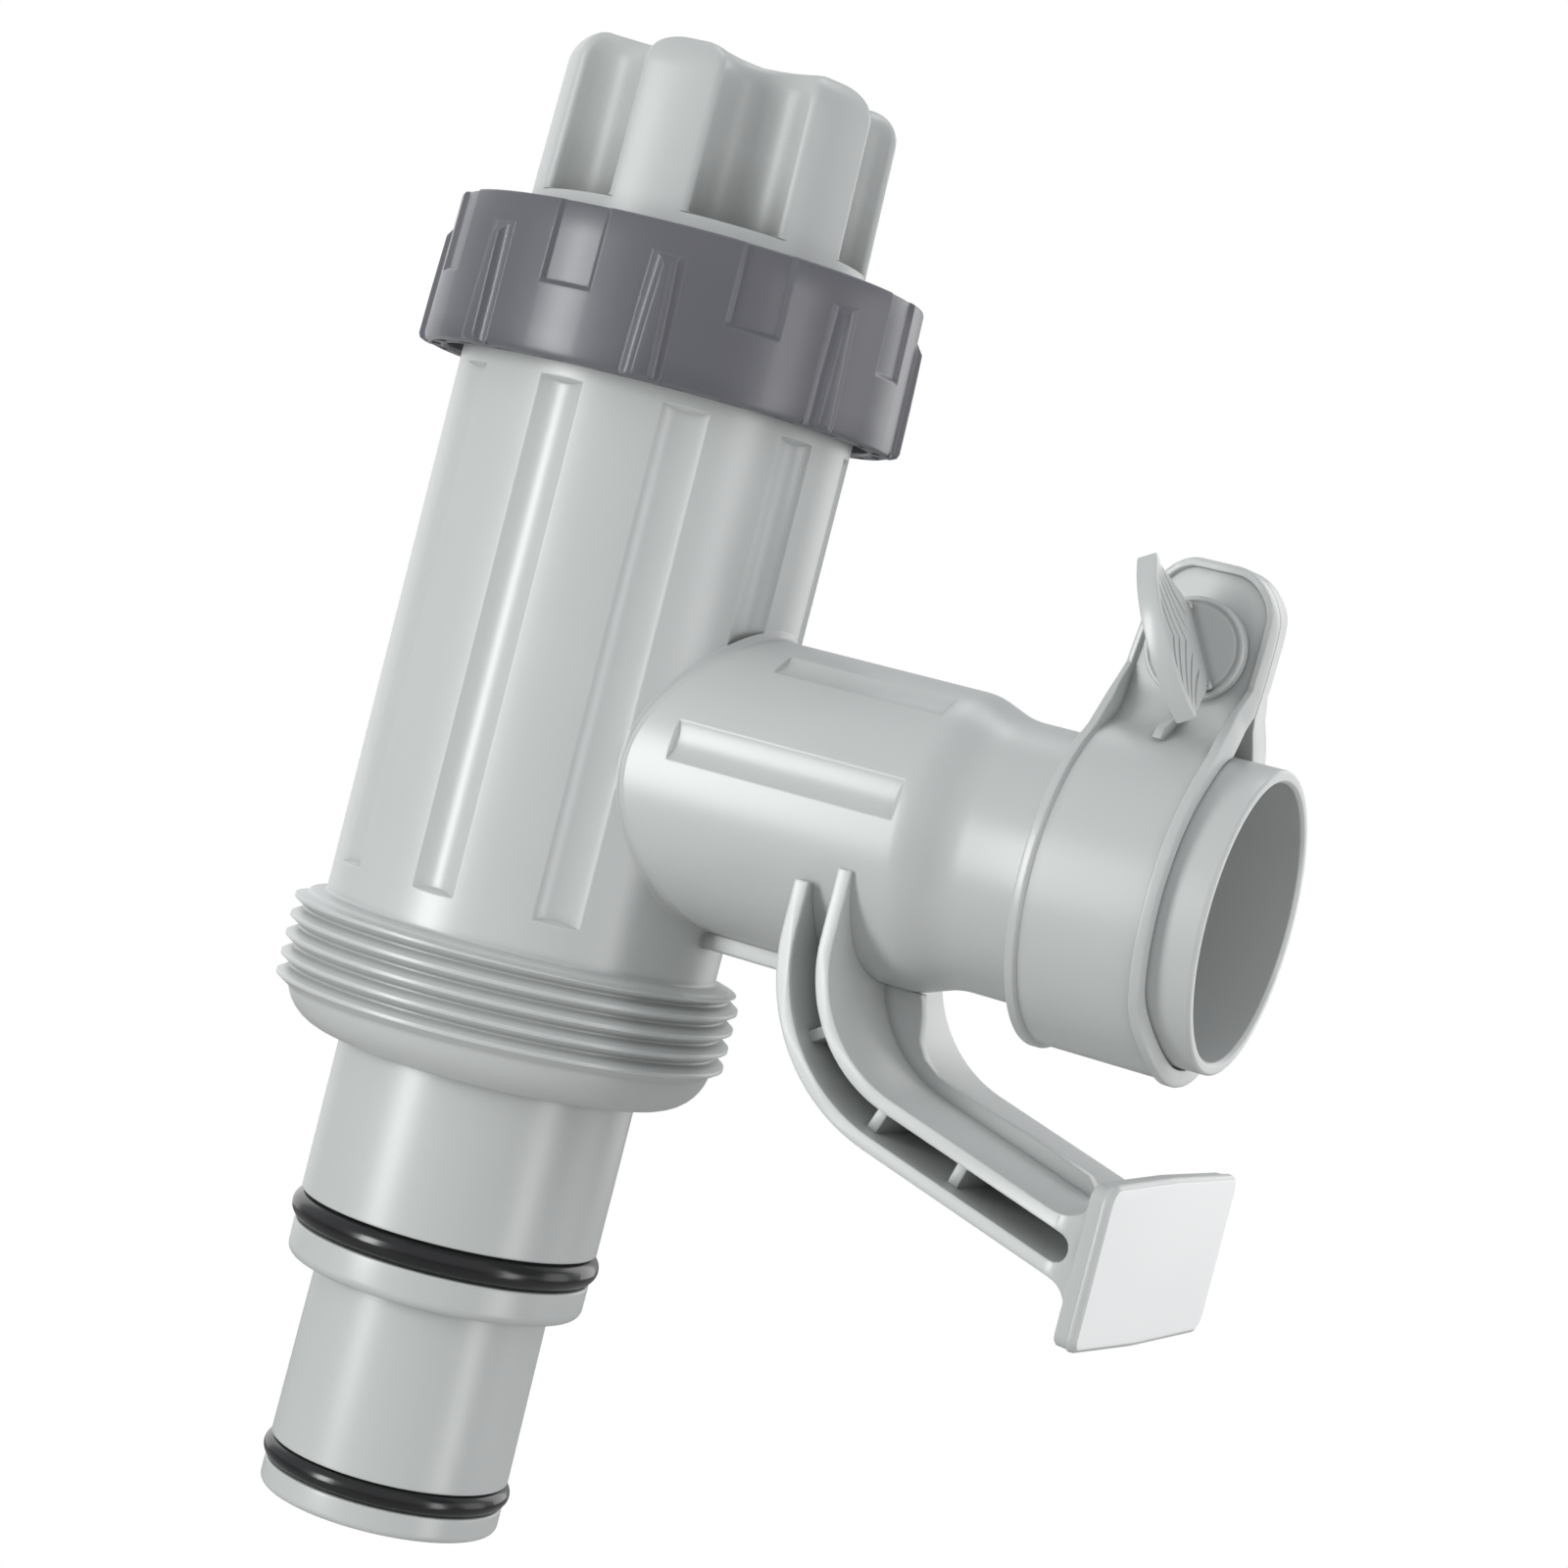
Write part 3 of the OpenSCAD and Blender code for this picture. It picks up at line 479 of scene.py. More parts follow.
# valve body: the corners are radius, height and fillet, the bore is radius and height
barrelSet = {"radius": 26.3, "steps": 192, "filletSteps": 12, "collarTop": 77.4,
             "corners": [(0, 0, 0), (16.06, 0, 0.9), (16.06, 3.4, 0.25), (13.6, 3.4, 0), (13.6, 6.55, 0),
                         (16.02, 6.55, 0.25), (15.75, 30.3, 0.5), (19.9, 30.3, 1.4), (19.95, 35.0, 0.25),
                         (16.9, 35.0, 0), (16.9, 39.0, 0), (20.0, 39.0, 0.25), (20.0, 60.3, 0.6),
                         (28.57, 60.3, 6.4), (28.57, 77.4, 0.6), (26.3, 77.9, 0.5), (26.3, 152.4, 0),
                         (27.3, 153.4, 0), (27.3, 161.9, 0.5), (26.3, 162.9, 0), (0, 162.9, 0)],
             "bore": [(0, -1), (11.8, -1), (11.8, 41), (16.6, 46), (16.6, 63.7), (17.4, 63.7), (18.6, 62.9),
                      (23.0, 62.9), (23.0, 163.9), (0, 163.9)]}
fluteSet = {"count": 10, "phase": 18.0, "wide": 6.2, "scoop": 6.0, "low": 82.4, "high": 148.9, "ramp": 0.75,
            "steps": 72}
outletSet = {"axis": 104.7, "tube": 19.3, "steps": 160, "filletSteps": 8, "boreSteps": 144,
             "corners": [(0, 14.0, 0), (19.3, 14.0, 0), (19.3, 56.5, 7.0), (17.3, 61.8, 11.0), (17.3, 72.4, 0.4),
                         (19.0, 72.4, 0.4), (19.0, 95.5, 0.45), (0, 95.5, 0)],
             "bore": [(0, 18.0), (15.3, 18.0), (15.3, 78.5), (17.4, 78.5), (17.4, 95.1), (18.2, 95.9),
                      (0, 95.9)]}
tubeFluteSet = {"angles": (12.0, 58.0), "wides": (5.3, 4.5), "starts": (23.5, 31.5), "end": 55.0, "scoop": 6.0,
                "ramps": (-0.6, 1.0), "steps": 72}
beadSet = {"radius": 1.1, "steps": 144, "arcSteps": 6, "deep": 1.6}
webSet = {"from": 25.3, "to": 44.3, "half": 1.5, "below": 2.2, "high": 4.0, "soft": 0.35}


def makeBarrel(s):
    return turned("valveShell", rounded(s["corners"], s["filletSteps"]), s["steps"])


def makeFluteCutters(s, radius, outlet):
    half = s["wide"] / 2
    out = math.sqrt(radius ** 2 - half ** 2) + math.sqrt(s["scoop"] ** 2 - half ** 2)
    bm = bmesh.new()
    for k in range(s["count"]):
        angle = math.radians(s["phase"] + k * 360 / s["count"])
        underTube = abs(math.sin(angle)) * out < outlet["tube"] and math.cos(angle) > 0
        rings = []
        for end in (0, 1):
            ring = []
            for a in ringSteps(s["steps"]):
                x, y = out + s["scoop"] * math.cos(a), s["scoop"] * math.sin(a)
                run = s["ramp"] * (x - radius)
                low = outlet["axis"] if underTube else s["low"] - run
                ring.append((*spun(x, y, angle), s["high"] + run if end else low))
            rings.append(ring)
        skin(bm, rings, caps=True)
    return pieceFrom("fluteCutters", bm)


def makeOutlet(s):
    return turned("outlet", rounded(s["corners"], s["filletSteps"]), s["steps"], axisX=s["axis"])


def makeTubeCutters(s, outlet):
    bm = bmesh.new()
    for degrees, wide, low in zip(s["angles"], s["wides"], s["starts"]):
        out = math.sqrt(outlet["tube"] ** 2 - wide ** 2 / 4) + math.sqrt(s["scoop"] ** 2 - wide ** 2 / 4)
        for side in (-1, 1):
            across = Vector((0, side * math.cos(math.radians(degrees)), math.sin(math.radians(degrees))))
            along = across.cross(Vector((1, 0, 0)))
            rings = []
            for start, ramp in zip((low, s["end"]), s["ramps"]):
                ring = []
                for a in ringSteps(s["steps"]):
                    far = out + s["scoop"] * math.cos(a)
                    p = across * far + along * s["scoop"] * math.sin(a)
                    ring.append((start + (far - outlet["tube"]) * ramp, p.y, outlet["axis"] + p.z))
                rings.append(ring)
            skin(bm, rings, caps=True)
    return pieceFrom("tubeCutters", bm)


def makeBead(s, radius, outlet):
    rad, rings, lift = s["radius"], [], Vector((0, 0, outlet["axis"]))
    for a in ringSteps(s["steps"]):
        y, z = (outlet["tube"] + rad) * math.cos(a), (outlet["tube"] + rad) * math.sin(a)
        centre = Vector((math.sqrt((radius + rad) ** 2 - y * y), y, z))
        flat = Vector((centre.x, centre.y, 0)).normalized()
        start = Vector((0, -math.cos(a), -math.sin(a)))
        opposite = start.angle(-flat) >= 3.1
        ring = [centre + (start if opposite else start.slerp(-flat, k / s["arcSteps"])) * rad
                for k in range(s["arcSteps"] + 1)]
        rings.append([tuple(p + lift) for p in ring + [centre + (start - flat) * rad * s["deep"]]])
    return skinned("outletFillet", rings, 60, loop=True, caps=False)


def makeWebRib(s, outlet):
    low, half = outlet["axis"] - outlet["tube"] - s["below"], s["half"]
    outline = rounded([(-half, low, s["soft"]), (half, low, s["soft"]), (half, low + s["high"], 0),
                       (-half, low + s["high"], 0)], 3)
    return skinned("webRib", [[(x, y, z) for y, z in outline] for x in (s["from"], s["to"])])


# inlet thread: the first table feeds the helix group
threadSet = {"Radius": 28.57, "Pitch": 2.55, "Turns": 4.9, "Root Width": 4.3, "Crest Width": 0.45, "Ridge": 1.53,
             "Run Out": 0.06}
threadPlace = {"z": 65.35, "turn": 114.0, "topFrom": 28.5, "topSlope": 0.35}


def makeThread(s, place, top):
    obj = linkMesh("inletThread", bpy.data.meshes.new("inletThread"))
    values = {k: v if k in ("Turns", "Run Out") else v * mm for k, v in s.items()}
    shaped(obj, helixTree, dict(values, Material=finishes["body_plastic"]))
    turn = Matrix.Rotation(math.radians(place["turn"]), 4, "Z")
    obj.data.transform(Matrix.Translation((0, 0, place["z"] * mm)) @ turn)
    for vert in obj.data.vertices:
        past = max(0, math.hypot(vert.co.x, vert.co.y) / mm - place["topFrom"])
        vert.co.z = min(vert.co.z, (top - place["topSlope"] * past) * mm)
    smoothMesh(obj.data, 30)
    return obj


def makeValve():
    radius = barrelSet["radius"]
    shell = makeBarrel(barrelSet)
    cut(shell, makeFluteCutters(fluteSet, radius, outletSet))
    outlet = makeOutlet(outletSet)
    cut(outlet, makeTubeCutters(tubeFluteSet, outletSet))
    cut(shell, outlet, "UNION")
    steps = outletSet["boreSteps"]
    cut(shell, turned("barrelBore", barrelSet["bore"], steps))
    cut(shell, turned("outletBore", outletSet["bore"], steps, axisX=outletSet["axis"]))
    smoothMesh(shell.data, 28)
    valve = joined("valveBodyLook", [shell, makeBead(beadSet, radius, outletSet), makeWebRib(webSet, outletSet),
                                     makeThread(threadSet, threadPlace, barrelSet["collarTop"])])
    dress(valve, "body_plastic", "valve", ["valve_body"])


# union nut: bar rows are height, half width at the foot, half width of the crest and how far the crest sinks
nutSet = {"low": 150.4, "high": 170.0, "foot": 31.6, "head": 31.1, "bars": 8,
          "panelHalf": 3.35, "panelDeep": 0.5, "panelEdge": (0.32, 0.3), "panelGap": 7,
          "footAt": 151.3, "footSoft": [(0.95, 0), (0.3, 0.25), (0, 0.95)], "levels": (154, 157, 159.3),
          "panelLevels": (159.9, 163, 166, 169.55), "headSoft": [(0.13, 0.13), (0.45, 0)],
          "inside": [(22.6, 170.0), (22.2, 169.6), (22.2, 166.4), (28.5, 166.4), (28.5, 150.7), (28.75, 150.4),
                     (29.15, 150.4), (29.15, 155.4), (30.4, 155.4), (30.4, 150.4)],
          "barRoot": 29.8, "barCrest": 32.55, "barSunk": 0.1,
          "barRows": [(150.5, 2.5, 1.0, 0.9), (150.8, 2.55, 1.05, 0.25), (151.4, 2.55, 1.05, 0.0),
                      (157.0, 2.45, 0.85, 0.1), (162.0, 2.3, 0.6, 0.25), (168.5, 2.1, 0.32, 0.5)],
          "flank": [(0, 0), (0.08, 0.24), (0.2, 0.48), (0.38, 0.68), (0.62, 0.84), (0.86, 0.95), (0.95, 1.0),
                    (1.0, 1.12)],
          "slant": [(32.75, 163.8), (30.85, 166.4), (28.8, 166.4), (28.8, 170.0), (34.55, 170.0),
                    (34.55, 163.8)],
          "slantHalf": 4, "ribCount": 24, "ribFirst": 7.5, "ribHalf": 2.3, "ribReach": (29.0, 30.5),
          "ribHigh": (150.42, 155.5)}


def nutRadius(s, z):
    return s["foot"] + (s["head"] - s["foot"]) * (z - s["low"]) / (s["high"] - s["low"])


def makeNutRing(s):
    inner, outer = (math.degrees(math.asin((s["panelHalf"] + grow) / s["head"]))
                    for grow in (-s["panelEdge"][0], s["panelEdge"][1]))
    sector, gap = 360 / s["bars"], s["panelGap"]
    steps = [-outer, -inner, -inner / 2, 0, inner / 2, inner, outer]
    steps += [outer + (sector - 2 * outer) * k / gap for k in range(1, gap)]
    angles = [(k * sector + a, abs(a) <= inner + 0.01) for k in range(s["bars"]) for a in steps]
    rows = [(nutRadius(s, s["footAt"]) - back, s["low"] + up, 0) for back, up in s["footSoft"]]
    rows += [(nutRadius(s, z), z, 0) for z in s["levels"]]
    rows += [(nutRadius(s, z), z, s["panelDeep"]) for z in s["panelLevels"]]
    rows += [(s["head"] - back, s["high"] - down, s["panelDeep"]) for back, down in s["headSoft"]]
    rows += [(r, z, 0) for r, z in s["inside"]]
    rings = []
    for r, z, deep in rows:
        reaches = [(r - (deep if panel else 0), math.radians(a)) for a, panel in angles]
        rings.append([(reach * math.cos(a), reach * math.sin(a), z) for reach, a in reaches])
    return skinned("nutRing", rings, 26, loop=True, caps=False)


def makeNutBars(s):
    rings = []
    for z, foot, flat, sink in s["barRows"]:
        edge = math.sqrt(nutRadius(s, z) ** 2 - foot ** 2) - s["barSunk"]
        reach = s["barCrest"] - sink
        half = [(s["barRoot"], foot)] + [(edge + (reach - edge) * up, foot - (foot - flat) * along)
                                         for up, along in s["flank"]]
        rings.append([(x, y, z) for x, y in half + [(x, -y) for x, y in reversed(half)]])
    bar = skinned("nutBar", rings, 34)
    slantHalf = s["slantHalf"]
    cut(bar, skinned("barSlant", [[(x, y, z) for x, z in s["slant"]] for y in (-slantHalf, slantHalf)]))
    smoothMesh(bar.data, 34)
    return shaped(bar, ringTree, {"Count": s["bars"], "First Angle": math.pi / s["bars"],
                                  "Material": finishes["nut_plastic"]})


def makeNutRibs(s):
    (near, far), half = s["ribReach"], s["ribHalf"]
    outline = [(near, -half), (far, -half), (far, half), (near, half)]
    rib = skinned("nutRib", [[(x, y, z) for x, y in outline] for z in s["ribHigh"]])
    return shaped(rib, ringTree, {"Count": s["ribCount"], "First Angle": math.radians(s["ribFirst"]),
                                  "Material": finishes["nut_plastic"]})


def makeNut(s):
    nut = joined("unionNutLook", [makeNutRing(s), makeNutBars(s), makeNutRibs(s)])
    dress(nut, "nut_plastic", "nut", ["union_nut"])


# handle: lobes round scooped valleys, over a plain ring
handleSet = {"radius": 22.5, "low": 170.1, "ring": 172.6, "top": 194.5, "lobes": 6, "phase": -52.0,
             "valley": 6.25, "deep": 5.7, "flare": 3.4, "round": 4.6, "edge": 1.1, "edgeGrow": 0.5,
             "taper": 0.4, "dip": 1.2, "lipDip": 0.33, "dipFade": 9, "arcSteps": 6, "inside": 17,
             "foot": [(16.9, 170.1), (22.2, 170.1), (22.5, 170.4), (22.5, 172.25)],
             "floor": [(0.1, -0.1), (0.45, 0.0)], "valleyFoot": [(0.5, 0.03), (0.12, 0.2), (0.0, 0.6)],
             "sideSteps": 4, "roundSteps": 12, "crown": [(0.8, 0.45), (0.55, 0.1), (0.25, 0.0)]}


def lobedOutline(s, outer, valley, edge, height, dip=0.0):
    away = s["radius"] - s["deep"] + s["valley"]
    share = ((outer - edge) ** 2 + away ** 2 - (valley + edge) ** 2) / (2 * (outer - edge) * away)
    swing = math.acos(max(-1, min(1, share)))
    sector = 2 * math.pi / s["lobes"]
    centre = Vector(((outer - edge) * math.cos(swing), (outer - edge) * math.sin(swing)))
    toValley = Vector((away, 0)) - centre
    lipAngle = math.atan2(toValley.y, toValley.x)
    arcEnd = math.atan2(-toValley.y, -toValley.x)
    side, steps = [], s["arcSteps"]
    for k in range(steps + 1):
        a = math.pi + (arcEnd - math.pi) * k / steps
        side.append((Vector((away + valley * math.cos(a), valley * math.sin(a))), 1.0 - k / s["dipFade"]))
    for k in range(1, steps + 1):
        a = lipAngle + (swing - lipAngle) * k / steps
        side.append((centre + Vector((math.cos(a), math.sin(a))) * edge, s["lipDip"] * (1 - k / steps)))
    for k in range(1, steps):
        a = swing + (sector / 2 - swing) * k / steps
        side.append((Vector((math.cos(a), math.sin(a))) * outer, 0.0))
    crest = Vector((math.cos(sector / 2), math.sin(sector / 2))) * outer
    lobe = [(p.x, -p.y, d) for p, d in reversed(side[1:])] + [(p.x, p.y, d) for p, d in side]
    lobe.append((crest.x, crest.y, 0.0))
    return [(*spun(x, y, math.radians(s["phase"]) + k * sector), height - dip * d)
            for k in range(s["lobes"]) for x, y, d in lobe]


def makeHandle(s):
    radius, ring, top = s["radius"], s["ring"], s["top"]
    base = lobedOutline(s, radius, s["valley"], s["edge"], 0)

    def plain(r, z):
        return [(r * x / math.hypot(x, y), r * y / math.hypot(x, y), z) for x, y, _ in base]

    rings = [plain(r, z) for r, z in s["foot"]]
    dips = [min(1.0, -z * 3) for _, _, z in lobedOutline(s, radius, s["valley"], s["edge"], 0, 1.0)]
    for inward, level in s["floor"]:
        rings.append([(x * (1 - inward * dip / radius), y * (1 - inward * dip / radius), ring + level)
                      for (x, y, _), dip in zip(plain(radius, 0), dips)])
    for narrow, level in s["valleyFoot"]:
        rings.append(lobedOutline(s, radius, s["valley"] - narrow, s["edge"], ring + level))
    sideTop, sideLow = top - s["round"], s["valleyFoot"][-1][1]
    for k in range(1, s["sideSteps"] + 1):
        t = k / s["sideSteps"]
        rings.append(lobedOutline(s, radius - s["taper"] * t, s["valley"], s["edge"],
                                  ring + sideLow + (sideTop - ring - sideLow) * t))
    for k in range(1, s["roundSteps"] + 1):
        t = k / s["roundSteps"]
        a = math.radians(90 * k / s["roundSteps"])
        back = s["round"] * (1 - math.cos(a))
        z = sideTop + s["round"] * math.sin(a)
        over = max(0.0, (z - (top - s["flare"])) / s["flare"])
        grow = s["flare"] * (1 - math.sqrt(max(0.0, 1 - over * over)))
        rings.append(lobedOutline(s, radius - s["taper"] - back, s["valley"] + grow,
                                  s["edge"] + s["edgeGrow"] * k / s["roundSteps"], z, s["dip"] * t ** 2))
    last = rings[-1]
    for share, level in s["crown"]:
        rings.append([(x * share, y * share, top - (top - z) * level) for x, y, z in last])
    rings.append([(0, 0, top)] * len(last))
    bm = bmesh.new()
    skin(bm, rings)
    bm.faces.new([v for v in bm.verts if abs(v.co.z - s["low"] * mm) < weld
                  and math.hypot(v.co.x, v.co.y) < s["inside"] * mm])
    return pieceFrom("handleShell", bm, 40)


def makePlungerHandle(s):
    handle = makeHandle(s)
    handle.name = "plungerHandleLook"
    dress(handle, "body_plastic", "plunger", ["plunger_handle"])
    handle.data.materials[0] = handleFinish


# hose clamp: a half band runs up into its ear, and a lip becomes the ear's rim
clampSet = {"start": 72.8, "end": 90.0, "inner": 19.3, "outer": 20.95, "lip": 0.55, "lipWide": 1.45, "rim": 0.7,
            "rimWide": 1.1, "fold": 6.5, "farShort": 1.6, "shortFade": (-0.95, -0.2), "top": 146.1,
            "gapHalf": 4.2, "gapTop": 129.0, "earGap": 0.1, "nearThick": 3.5, "farThick": 3.0,
            "sag": 1.9, "sagBelow": 100, "sagFade": (-0.55, -1.0), "rimStep": 132.0, "stepDeep": 0.22,
            "stepHalf": 0.15, "chordFrom": 59.0, "flareFrom": 38.0, "bandSteps": 48, "foldSteps": 12,
            "earSteps": 9, "topGap": 0.02, "soft": 0.3, "softShare": 0.1, "softCut": 0.3, "roundTop": 0.35,
            "roundFrom": 0.4, "panelShare": 0.3,
            "drops": (1.1, 0.85, 0.6, 0.4, 0.25, 0.12, 0.05, 0.0)}
earSides = {"left": [(116.7, 72.8), (126.0, 72.85), (132.0, 73.0), (136.9, 73.5), (140.6, 73.8)],
            "right": [(116.7, 90.0), (122.0, 89.5), (127.9, 89.3), (132.9, 89.7), (137.8, 89.85), (140.2, 89.8)]}
earCorners = {"left": (78.9, 140.6, 5.1, 5.5), "right": (83.9, 140.2, 5.9, 5.9)}
earPower = 1.75


def smoothStep(low, high, value):
    t = max(0.0, min(1.0, (value - low) / (high - low)))
    return t * t * (3 - 2 * t)


def earEdge(name, z, back=0.0):
    side = 1 if name == "left" else -1
    midX, midZ, wide, high = earCorners[name]
    if z > midZ:
        share = min(1.0, (z - midZ) / (high - back))
        return midX - side * (wide - back) * (1 - share ** earPower) ** (1 / earPower)
    chain = earSides[name]
    for (z0, x0), (z1, x1) in zip(chain, chain[1:]):
        if z <= z1:
            return x0 + (x1 - x0) * max(0.0, (z - z0) / (z1 - z0)) + side * back
    return chain[-1][1] + side * back


# a station is the outer point, its way outwards, the inner point, the flare, the ear's share and the rim's height
def clampStations(s, earFace):
    axis, fold, outer, inner = outletSet["axis"], s["fold"], s["outer"], s["inner"]
    centreY = earFace + fold
    centreZ = math.sqrt((outer + fold) ** 2 - centreY ** 2)
    touch = math.atan2(centreZ, centreY)
    gapZ = math.sqrt(inner ** 2 - s["gapHalf"] ** 2)
    gapAngle = math.atan2(gapZ, s["gapHalf"])
    lean = math.radians(s["chordFrom"])
    chordY, chordZ = (outer + s["lip"]) * math.cos(lean), (outer + s["lip"]) * math.sin(lean)
    wayY, wayZ = earFace + s["rim"] - s["stepDeep"] - chordY, s["rimStep"] - axis - chordZ

    def chordRise(y, z, ny, nz):
        return ((chordY - y) * wayZ - (chordZ - z) * wayY) / (ny * wayZ - nz * wayY)

    stations = []
    for k in range(s["bandSteps"] + 1):
        t = k / s["bandSteps"]
        a = -math.pi / 2 + (touch + math.pi / 2) * t
        b = -math.pi / 2 + (gapAngle + math.pi / 2) * t
        ny, nz = math.cos(a), math.sin(a)
        rise = s["lip"] if a < lean else chordRise(outer * ny, outer * nz, ny, nz)
        stations.append((outer * ny, axis + outer * nz, ny, nz, inner * math.cos(b), axis + inner * math.sin(b),
                         smoothStep(math.radians(s["flareFrom"]), touch, a), 0.0, rise))
    for k in range(1, s["foldSteps"] + 1):
        t = k / s["foldSteps"]
        a = touch + math.pi - touch * t
        y, z = centreY + fold * math.cos(a), centreZ + fold * math.sin(a)
        inY, inZ = s["gapHalf"] + (s["earGap"] - s["gapHalf"]) * t, axis + gapZ + (s["gapTop"] - axis - gapZ) * t
        stations.append((y, axis + z, -math.cos(a), -math.sin(a), inY, inZ, 1.0, smoothStep(0, 1, t),
                         chordRise(y, z, -math.cos(a), -math.sin(a))))
    low, corner, steps = axis + centreZ, earCorners["right"][1], s["earSteps"]
    heights = [low + (corner - low) * k / steps for k in range(1, steps + 1)]
    heights += [s["rimStep"] - s["stepHalf"], s["rimStep"] + s["stepHalf"]]
    heights += [corner + (s["top"] - s["rimWide"] - s["topGap"] - corner) * math.sin(math.radians(10 * k))
                for k in range(1, 10)]
    for z in sorted(heights):
        inZ = s["gapTop"] + (z - low) * (s["top"] - s["gapTop"]) / (s["top"] - low)
        rise = s["rim"] if z > s["rimStep"] else chordRise(earFace, z - axis, 1.0, 0.0)
        stations.append((earFace, z, 1.0, 0.0, s["earGap"], inZ, 1.0, 1.0, rise))
    for down in s["drops"]:
        stations.append((earFace, s["top"] - down, 1.0, 0.0, s["earGap"], s["top"] - down, 1.0, 1.0, s["rim"]))
    return stations


def clampSection(s, left, right, inLeft, inRight, rise, floor):
    soft = min(s["soft"], (right - left) * s["softShare"])
    step, wall = soft * s["softCut"], s["soft"] * (1 - floor)
    section = [(left, rise - soft), (left + step, rise - step), (left + soft, rise),
               (inLeft - wall, rise), (inLeft, floor)]
    section += [(inLeft + (inRight - inLeft) * k / 5, floor) for k in range(1, 5)]
    return section + [(inRight, floor), (inRight + wall, rise), (right - soft, rise),
                      (right - step, rise - step), (right, rise - soft)]


def makeClampHalf(name, s, side, earThick):
    rings = []
    for y, z, ny, nz, innerY, innerZ, flare, up, rise in clampStations(s, earThick - s["rim"]):
        bandEnd = s["end"] - (s["farShort"] * smoothStep(*s["shortFade"], nz) if side > 0 else 0)
        if z < s["sagBelow"]:
            bandEnd += s["sag"] * smoothStep(*s["sagFade"], nz)
        left = s["start"] + (earEdge("left", z) - s["start"]) * flare
        right = bandEnd + (earEdge("right", z) - bandEnd) * flare
        wide = s["lipWide"] + (s["rimWide"] - s["lipWide"]) * up
        inLeft, inRight, floor = left + wide, right - wide, 0.0
        if z > s["rimStep"]:
            inLeft, inRight = earEdge("left", z, s["rimWide"]), earEdge("right", z, s["rimWide"])
        topDown = s["top"] - z
        if topDown <= s["rimWide"] + 0.01:
            aside = (right - left) * s["panelShare"]
            inLeft, inRight = left + aside, right - aside
            rise -= s["roundTop"] * (1 - min(1.0, topDown / s["roundFrom"])) ** 2
            floor = rise
        section = clampSection(s, left, right, inLeft, inRight, rise, floor)
        ring = [(x, side * (y + ny * h), z + nz * h) for x, h in section]
        rings.append(ring + [(right, side * innerY, innerZ), (left, side * innerY, innerZ)])
    return skinned(name, rings)


# gusset: slices are place and shrinking, the outline is y, z and the share of the shrinking in each
gussetSet = {"slices": [(-0.62, 0.15), (-0.5, 0.0), (0.5, 0.0), (0.62, 0.15)],
             "outline": [(2.6, 124.0, 0, 0), (2.6, 128.8, 0, 1), (3.4, 128.2, 0, 1), (4.6, 127.3, 0, 1),
                         (6.4, 126.3, 0, 1), (9.3, 124.9, 1, 1), (10.0, 123.6, 1, 0), (6.0, 121.5, 0, 0)]}


def makeGusset(s, middle, side):
    rings = [[(middle + place, side * (y - shareY * shrink), z - shareZ * shrink)
              for y, z, shareY, shareZ in s["outline"]] for place, shrink in s["slices"]]
    return skinned("gusset", rings, 40)


def makeClamp(s):
    middle = (s["start"] + s["end"]) / 2
    for name, side, body, node in (("near", -1, "clamp_flap", "clamp_half_near"),
                                   ("far", 1, "clamp", "clamp_half_far")):
        parts = [makeClampHalf(name, s, side, s[name + "Thick"]), makeGusset(gussetSet, middle, side)]
        dress(joined("clamp" + name.title() + "Look", parts), "body_plastic", body, [node])


# wing screw: u runs across the wing and w away from the head, and a groove is its start and its end
wingSet = {"place": (81.4, -5.0, 135.2), "thick": 1.9, "rimThick": 2.5, "rimWide": 1.15, "plateBack": 0.5,
           "turn": -29.0, "tip": (10.2, 10.6), "bulge": 15.2, "bevel": 0.2, "grooveHalf": 0.3,
           "grooveDeep": 0.72, "swing": 0.35,
           "grooves": [((0, 10.7), (4.4, 12.5)), ((0, 8.5), (6.3, 11.8)), ((0, 5.9), (7.7, 10.7)),
                       ((1.3, 4.2), (8.3, 9.8)), ((3.3, 3.1), (8.7, 8.8))],
           "side": [(4.7, 0.6), (4.9, -0.6), (5.15, -1.5), (6.2, -2.4), (6.9, -4.1), (8.0, -6.2), (8.9, -8.1),
                    (9.6, -9.7)],
           "bumpAt": (5.05, -0.55),
           "bump": [(0, -1.25), (0.35, -1.25), (0.5, -1.1), (0.5, 1.1), (0.35, 1.25), (0, 1.25)],
           "head": [(0, 0), (5.25, 0), (5.4, 0.16), (5.62, 0.16), (5.76, 0), (6.1, 0), (6.3, 0.2), (6.3, 2.15),
                    (2.4, 2.15), (2.4, 11.2), (1.9, 11.8), (0, 11.8)]}


def inset(points, depth):
    out = []
    for i, p in enumerate(points):
        a, b = Vector(points[i - 1]), Vector(points[(i + 1) % len(points)])
        along = (b - a).normalized()
        out.append((p[0] - along.y * depth, p[1] + along.x * depth))
    return out


def slab(name, outline, thick, bevel):
    area = sum(a[0] * b[1] - b[0] * a[1] for a, b in zip(outline, outline[1:] + outline[:1]))
    outline = outline if area > 0 else outline[::-1]
    half = thick / 2
    layers = [(bevel, -half), (bevel * 0.3, -half + bevel * 0.3), (0, -half + bevel), (0, half - bevel),
              (bevel * 0.3, half - bevel * 0.3), (bevel, half)]
    return skinned(name, [[(x, y, level) for x, y in inset(outline, depth)] for depth, level in layers], 40)


def wingArc(s, back=0.0, steps=24):
    tipU, tipW = s["tip"]
    rise = s["bulge"] - tipW
    radius = (tipU ** 2 + rise ** 2) / (2 * rise)
    swing = math.asin(tipU / radius)
    middle = s["bulge"] - radius
    return [((radius - back) * math.sin(swing * (2 * k / steps - 1)),
             -(middle + (radius - back) * math.cos(swing * (2 * k / steps - 1)))) for k in range(steps + 1)]


